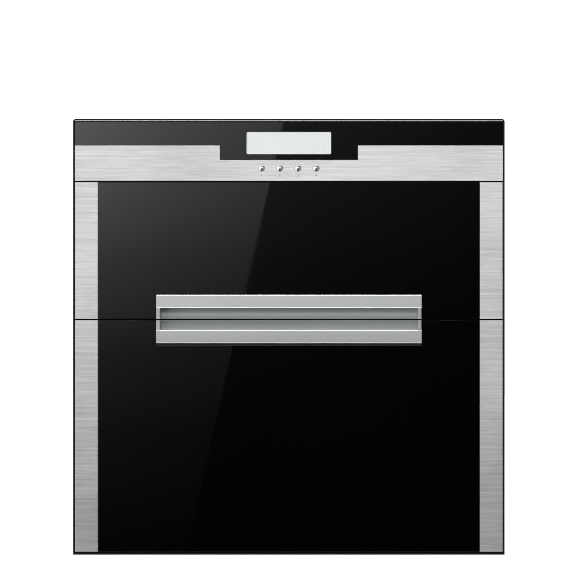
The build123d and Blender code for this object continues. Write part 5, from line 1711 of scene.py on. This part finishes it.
# ---------------------------------------------------------------- chambers and what is in them
@dataclass
class Chamber:
    """Pressed stainless liner of one chamber."""

    drawer: Drawer
    flange: float = 13.0
    sheet: float = 1.0
    corner: float = 7.0
    fan_radius: float = 48.0

    def build(self, screws: ScrewBox) -> None:
        """Make the liner and the screws in its flange.

        Args:
            screws: Fasteners.
        """
        name = self.drawer.label
        x, z = (-PLAN.chamber_half, PLAN.chamber_half), self.drawer.chamber
        front, back, t, r = PLAN.frame_back, PLAN.chamber_back, self.sheet, self.corner
        sections = [(t - 5.0, r, back + t), (t - 1.2, r, back + t - 0.3), (t, r, back - 1.5),
                    (t, r, front + t), (self.flange, 1.0, front + t), (self.flange, 1.0, front),
                    (0.3, 1.0, front), (0.0, 1.2, front + 0.5), (0.0, 1.6, front + 4.0),
                    (0.0, r, front + 12.0), (0.0, r, back - 5.0), (-0.9, r - 0.9, back - 2.2),
                    (-2.4, r - 2.4, back - 0.6), (-5.0, 3.0, back)]
        made = Mesh()
        made.loops(shells(sections, x, z))
        piece = made.finish(f"{name}_chamber", Shop.liner, 32.0)
        if self.drawer is Drawer.UPPER:
            self.cut_fan_hole(piece)
        settle(piece, "cabinet", "liner_steel", f"{name}_liner")
        side = PLAN.chamber_half + 7.0
        heights = (z[0] + 20, sum(z) / 2, z[1] - 20)
        places = [((s * side, front + t, h), BACKWARD) for s in (-1, 1) for h in heights]
        screws.place(f"{name}_flange_screws", "cabinet", places, 0.85)

    def cut_fan_hole(self, piece: bpy.types.Object) -> None:
        """Cut the round fan opening through the rear wall.

        Args:
            piece: The liner.
        """
        drill, middle = Mesh(), (0.0, PLAN.chamber_back + 0.5, PLAN.fan_z)
        drill.turn([(self.fan_radius, -4.0), (self.fan_radius, 4.0)], middle, "y", 64)
        cutter = drill.finish("fan_drill", Shop.liner)
        cut = piece.modifiers.new("fan_hole", "BOOLEAN")
        cut.object = cutter
        cut.solver = "EXACT"
        bake(piece)
        bpy.data.objects.remove(cutter)


@dataclass
class Blanket:
    """Mineral wool wrapped round the hot chamber, open at its front."""

    half: float = 246.3
    thickness: float = 15.0
    z: Flat = (28.7, 305.7)
    y: Flat = (-200.2, 183.3)
    back: float = 168.3
    steps: int = 14
    corner_steps: int = 8

    def build(self) -> None:
        """Make the blanket as one padded skin over the sides and the back."""
        rows = []
        outer_half, outer_z = self.half + self.thickness, grow(self.z, self.thickness)
        for i in range(self.steps + 1):
            y = self.y[0] + (self.y[1] - 6.0 - self.y[0]) * i / self.steps
            rows.append(self.ring(outer_half, outer_z, y, 10.0))
        rows.append(self.ring(outer_half - 5.0, grow(outer_z, -5.0), self.y[1], 8.0))
        inner = [self.ring(self.half, self.z, y, 2.0) for y in (self.y[0], self.back)]
        made = Mesh()
        made.loops(inner[::-1] + rows)
        piece = made.finish("wool_blanket", Shop.wool, 60.0)
        settle(piece, "cabinet", "wool", "insulation")

    def ring(self, half: float, z: Flat, y: float, radius: float) -> list[Point]:
        """One loop of the blanket's skin."""
        return [(px, y, pz) for px, pz in rounded((-half, half), z, radius, self.corner_steps)]


@dataclass
class FanUnit:
    """Cup, motor, impeller and grille behind the upper chamber."""

    motor_gap: float = 27.0
    motor_length: float = 24.0
    motor_radius: float = 28.0
    impeller_radius: float = 45.0
    blades: int = 9
    screw_spread: Flat = (20.0, 12.0)

    def build(self, screws: ScrewBox) -> None:
        """Make the fan.

        Args:
            screws: Fasteners of the motor.
        """
        stand_in("fan_grille", "fan_cover", Shop.panel, "liner_steel", width=0.35)
        stand_in("fan_housing", "fan_cup", Shop.galvanised, "galvanised_sheet", width=0.4, segments=1)
        self.motor()
        self.impeller()
        (x, z), y = self.screw_spread, PLAN.chamber_back + self.motor_gap + self.motor_length
        places = [((sx * x, y, PLAN.fan_z + sz * z), BACKWARD) for sx in (-1, 1) for sz in (-1, 1)]
        screws.place("fan_screws", "cabinet", places, 0.8)

    def motor(self) -> None:
        """Motor can with a rolled edge and an end bell."""
        made, y, r = Mesh(), PLAN.chamber_back + self.motor_gap, self.motor_radius
        profile = [(2.6, 12.0), (2.6, 0.0), (r - 1.2, 0.0), (r - 0.2, 0.6), (r - 0.2, 5.0), (r - 1.0, 5.6),
                   (r - 1.0, 18.0), (r - 2.0, 20.5), (r - 5.0, 22.0), (12.0, 22.4), (11.0, 23.6),
                   (9.0, 23.95), (0.0, 23.95)]
        made.turn(profile, (0.0, y, PLAN.fan_z), "y", 48)
        settle(made.finish("fan_drive", Shop.motor, 35.0), "cabinet", "motor_steel", "fan_motor")

    def impeller(self) -> None:
        """Disc with curved blades, a hub and the shaft."""
        made, back = Mesh(), PLAN.chamber_back + 23.0
        r, front = self.impeller_radius, back - 18.0
        disc = [(0.0, -2.0), (r * 0.97, -2.0), (r * 0.995, -1.6), (r * 0.995, -0.4), (r * 0.97, 0.0),
                (0.0, 0.0)]
        made.turn(disc, (0.0, back, PLAN.fan_z), "y", 64)
        hub = [(0.0, 0.0), (2.5, 0.0), (2.5, 0.4), (6.6, 0.4), (7.6, 1.4), (8.0, 3.0), (8.0, 16.5),
               (0.0, 16.5)]
        made.turn(hub, (0.0, front, PLAN.fan_z), "y", 32)
        made.turn([(2.48, 18.0), (2.48, 32.0)], (0.0, front, PLAN.fan_z), "y", 24)
        for i in range(self.blades):
            turn = 2 * math.pi * i / self.blades
            line = [(7.4 + 31.6 * t, turn + 0.62 * t * t + 0.1) for t in (0.0, 0.25, 0.5, 0.75, 1.0)]
            near = [(q * math.cos(a), q * math.sin(a)) for q, a in line]
            far = [(q * math.cos(a + 1.4 / q), q * math.sin(a + 1.4 / q)) for q, a in line[::-1]]
            made.prism([(px, PLAN.fan_z + pz) for px, pz in near + far], "y", (front + 0.3, back - 1.6))
        settle(made.finish("fan_wheel", Shop.plastic, 35.0), "fan_rotor", "black_plastic", "fan_impeller")


@dataclass
class LampUnit:
    """Germicidal lamp with its end caps and holders, and the ozone cell."""

    y: float = 140.0
    z: float = 480.6
    radius: float = 7.75
    half: float = 144.0

    def build(self) -> None:
        """Make the lamp, the holders and the cell."""
        tube, r, h = Mesh(), self.radius - 0.15, self.half
        profile = [(0.0, 8.5), (r, 8.5), (r, 2 * h - 8.5), (0.0, 2 * h - 8.5)]
        tube.turn(profile, (-h, self.y, self.z), "x", 40)
        settle(tube.finish("lamp_tube", Shop.lamp, 35.0), "cabinet", "lamp_glass", "uv_lamp")
        caps = Mesh()
        for side in (-1, 1):
            start, r = (-h if side < 0 else h - 9.0), self.radius
            cap = [(0.0, 0.0), (r - 0.6, 0.0), (r, 0.6), (r, 8.4), (r - 0.6, 9.0), (0.0, 9.0)]
            caps.turn(cap, (start, self.y, self.z), "x", 40)
        settle(caps.finish("lamp_caps", Shop.bright, 35.0), "cabinet", "bright_trim")
        coils = Mesh()
        for side in (-1, 1):
            for i in range(7):
                x = side * (h - 16.0 - i * 1.3)
                coils.turn([(2.2, -0.25), (2.5, 0.0), (2.2, 0.25), (1.9, 0.0)], (x, self.y, self.z), "x", 16)
        settle(coils.finish("lamp_filaments", Shop.filament, 35.0), "cabinet", "motor_steel")
        stand_in("lamp_holders", "lamp_sockets", Shop.socket, "socket_plastic", width=0.6)
        stand_in("ozone_unit", "ozone_cell", Shop.plastic, "black_plastic", width=0.5)


@dataclass
class Heaters:
    """Two quartz tubes with wound elements, their ceramic ends and the wire guard."""

    y: float = 145.0
    zs: Flat = (110.0, 215.0)
    half: float = 190.0
    radius: float = 5.5
    guard_y: float = 129.0
    guard_half: float = 210.0
    guard_z: Flat = (86.0, 239.0)
    bars: int = 9
    turns: int = 66
    turn_steps: int = 10
    coil_radius: float = 2.6

    def build(self, wirework: Wirework) -> None:
        """Make the tubes, elements, ends and guard.

        Args:
            wirework: Tree that makes the wires.
        """
        tubes, r = Mesh(), self.radius
        for z in self.zs:
            walls = [(r, 0.0), (r, 2 * self.half), (r - 1.1, 2 * self.half), (r - 1.1, 0.0)]
            rows = []
            for radius, along in walls:
                ring = arc((self.y, z), radius, 0.0, 348.75, 31)
                rows.append([(-self.half + along, py, pz) for py, pz in ring])
            tubes.tube(rows)
        settle(tubes.finish("quartz_tubes", Shop.quartz, 35.0), "cabinet", "quartz", "heater_tubes")
        paths, coil = [], self.coil_radius
        count, length = self.turns * self.turn_steps, 2 * (self.half - 14.0)
        for z in self.zs:
            path = []
            for i in range(count + 1):
                turn = 2 * math.pi * i / self.turn_steps
                x = -length / 2 + length * i / count
                path.append((x, self.y + coil * math.cos(turn), z + coil * math.sin(turn)))
            paths.append(path)
        element = wirework.run("heating_elements", paths, 0.4, Shop.filament, 0.0, False, 6)
        settle(element, "cabinet", "motor_steel")
        stand_in("heater_end_caps", "ceramic_ends", Shop.ceramic, "white_ceramic", width=0.7)
        self.guard(wirework)

    def guard(self, wirework: Wirework) -> None:
        """Two long wires bent back to the wall at their ends, with upright bars on them."""
        y, half, reach = self.guard_y, self.guard_half, 3.2
        paths = []
        for z in self.guard_z:
            x = half - reach
            paths.append([(-x, PLAN.chamber_back, z), (-x, y, z), (x, y, z), (x, PLAN.chamber_back, z)])
        step = 2 * half / self.bars
        for i in range(self.bars):
            x = -half + (i + 0.5) * step
            paths.append([(x, y - reach, self.guard_z[0] - reach), (x, y - reach, self.guard_z[1] + reach)])
        screen = wirework.run("heater_screen", paths, 1.6, Shop.wire, 5.0)
        settle(screen, "cabinet", "rack_chrome", "heater_guard")
        plates = Mesh()
        for z in self.guard_z:
            for side in (-1, 1):
                x = side * (half - reach)
                plates.block((x - 5, x + 5), (PLAN.chamber_back - 0.9, PLAN.chamber_back), (z - 7, z + 7))
        settle(plates.ease(0.3, 1).finish("screen_feet", Shop.panel), "cabinet", "liner_steel")


# ---------------------------------------------------------------- casing
@dataclass
class Casing:
    """Galvanised sheets round the cabinet, with their screws, vent hoods, feet, boards and gland."""

    sheet: float = 1.0
    vent_rows: int = 7
    vent_pitch: float = 11.0
    vent_length: float = 60.0
    rear_screw_xs: Point = (-150.0, 0.0, 150.0)
    rear_screw_zs: tuple[float, ...] = (40.0, 215.0, 390.0, 560.0)
    side_screw_ys: Point = (-170.0, 10.0, 190.0)
    low_screw_z: float = 14.0
    gland_x: float = 190.0
    gland_z: float = 110.0
    foot_xs: Flat = (-232.5, 232.5)
    foot_ys: Flat = (-156.5, 181.5)

    def build(self, screws: ScrewBox) -> None:
        """Make the casing.

        Args:
            screws: Fasteners.
        """
        sheets = {"casing_left": "left_sheet", "casing_right": "right_sheet", "top_cover": "lid_sheet",
                  "base_pan": "floor_pan", "rear_cover": "rear_sheet"}
        for node, name in sheets.items():
            stand_in(node, name, Shop.galvanised, "galvanised_sheet")
        self.screw_rows(screws)
        self.louvres()
        self.feet(screws)
        self.gland()
        stand_in("thermostat", "snap_thermostat", Shop.plastic, "black_plastic", segments=1)
        stand_in("reed_switches", "door_switches", Shop.plastic, "black_plastic", segments=1)
        stand_in("power_board", "supply_board", Shop.board, "circuit_board", segments=1)

    def screw_rows(self, screws: ScrewBox) -> None:
        """Screws along the rear sheet, the lid and the sides."""
        half, top, rear, low = PLAN.casing_half, PLAN.casing_top, PLAN.rear_y, self.low_screw_z
        places = []
        for x in (-half + 5.0, half - 5.0):
            places += [((x, rear, z), BACKWARD) for z in self.rear_screw_zs]
        places += [((x, rear, z), BACKWARD) for x in self.rear_screw_xs for z in (low, top - 6.0)]
        for side in (-1, 1):
            for z in (top - 8.0, low):
                places += [((side * half, y, z), (side, 0.0, 0.0)) for y in self.side_screw_ys]
        screws.place("casing_screws", "cabinet", places)

    def louvres(self) -> None:
        """Pressed hoods inside the vent slots."""
        made = Mesh()
        top = PLAN.casing_top - 24.0
        y = PLAN.rear_y - self.sheet
        for row in range(self.vent_rows):
            z = top - row * self.vent_pitch
            for x in (-PLAN.casing_half / 2, PLAN.casing_half / 2):
                section = [(y, z), (y - 2.2, z - 2.2), (y - 2.6, z - 1.9), (y - 0.3, z + 0.5), (y, z + 0.5)]
                limits = (x - self.vent_length / 2, x + self.vent_length / 2)
                made.prism(section, "x", limits)
        settle(made.finish("vent_hoods", Shop.galvanised), "cabinet", "galvanised_sheet")

    def feet(self, screws: ScrewBox) -> None:
        """Rubber feet with a washer seat and a screw, standing on the floor."""
        made, places = Mesh(), []
        for x in self.foot_xs:
            for y in self.foot_ys:
                profile = [(3.6, 3.0), (3.6, 0.4), (4.2, 0.0), (10.6, 0.0), (11.6, 0.5), (12.1, 1.6),
                           (12.6, 4.0), (13.2, 6.6), (13.4, 7.9), (3.6, 7.95)]
                made.turn(profile, (x, y, 0.0), "z", 40)
                places.append(((x, y, 2.9), (0.0, 0.0, -1.0)))
        settle(made.finish("rubber_feet", Shop.rubber, 35.0), "cabinet", "foot_rubber", "feet")
        screws.place("foot_screws", "cabinet", places)

    def gland(self) -> None:
        """Six-sided gland with a square neck, a collar and the bore for a supply cord."""
        made, y = Mesh(), PLAN.rear_y
        rows = []
        spec = ((12.6, -9.0, 6), (12.8, -8.4, 6), (12.8, -1.0, 6), (8.8, -1.0, 4), (8.8, 0.0, 4),
                (12.8, 0.0, 6), (12.8, 3.0, 6), (12.0, 4.2, 6), (10.2, 4.8, 0), (9.2, 5.9, 0),
                (4.8, 5.98, 0), (4.05, 5.4, 0), (4.05, -9.0, 0))
        for radius, depth, sides in spec:
            row = []
            for i in range(48):
                turn = 2 * math.pi * i / 48
                reach = radius
                if sides:
                    part = 2 * math.pi / sides
                    shift = part / 2 if sides == 4 else 0.0
                    away = (turn + shift) % part - part / 2
                    reach = min(radius * math.cos(part / 2) / math.cos(away), radius * 0.995)
                row.append((self.gland_x + reach * math.cos(turn), y + depth,
                            self.gland_z + reach * math.sin(turn)))
            rows.append(row)
        made.tube(rows)
        settle(made.finish("cord_bushing", Shop.plastic, 32.0), "cabinet", "black_plastic", "cord_gland")


def main() -> None:
    """Build the studio and then the cabinet, sub-assembly by sub-assembly."""
    logging.basicConfig(level=logging.INFO, format="%(message)s")
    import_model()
    Studio().build()
    wirework, screws = Wirework(), ScrewBox()
    FrontEdge().build()
    ControlPanel().build(screws)
    for drawer in Drawer:
        DrawerFront(drawer).build(screws)
        Chamber(drawer).build(screws)
    DrawerBody(Drawer.UPPER).build(wirework, screws)
    DrawerBody(Drawer.LOWER, rim_height=62.0, cross=11, pins=14).build(wirework, screws)
    DripTray().build()
    Blanket().build()
    FanUnit().build(screws)
    LampUnit().build()
    Heaters().build(wirework)
    Casing().build(screws)


if __name__ == "__main__":
    main()
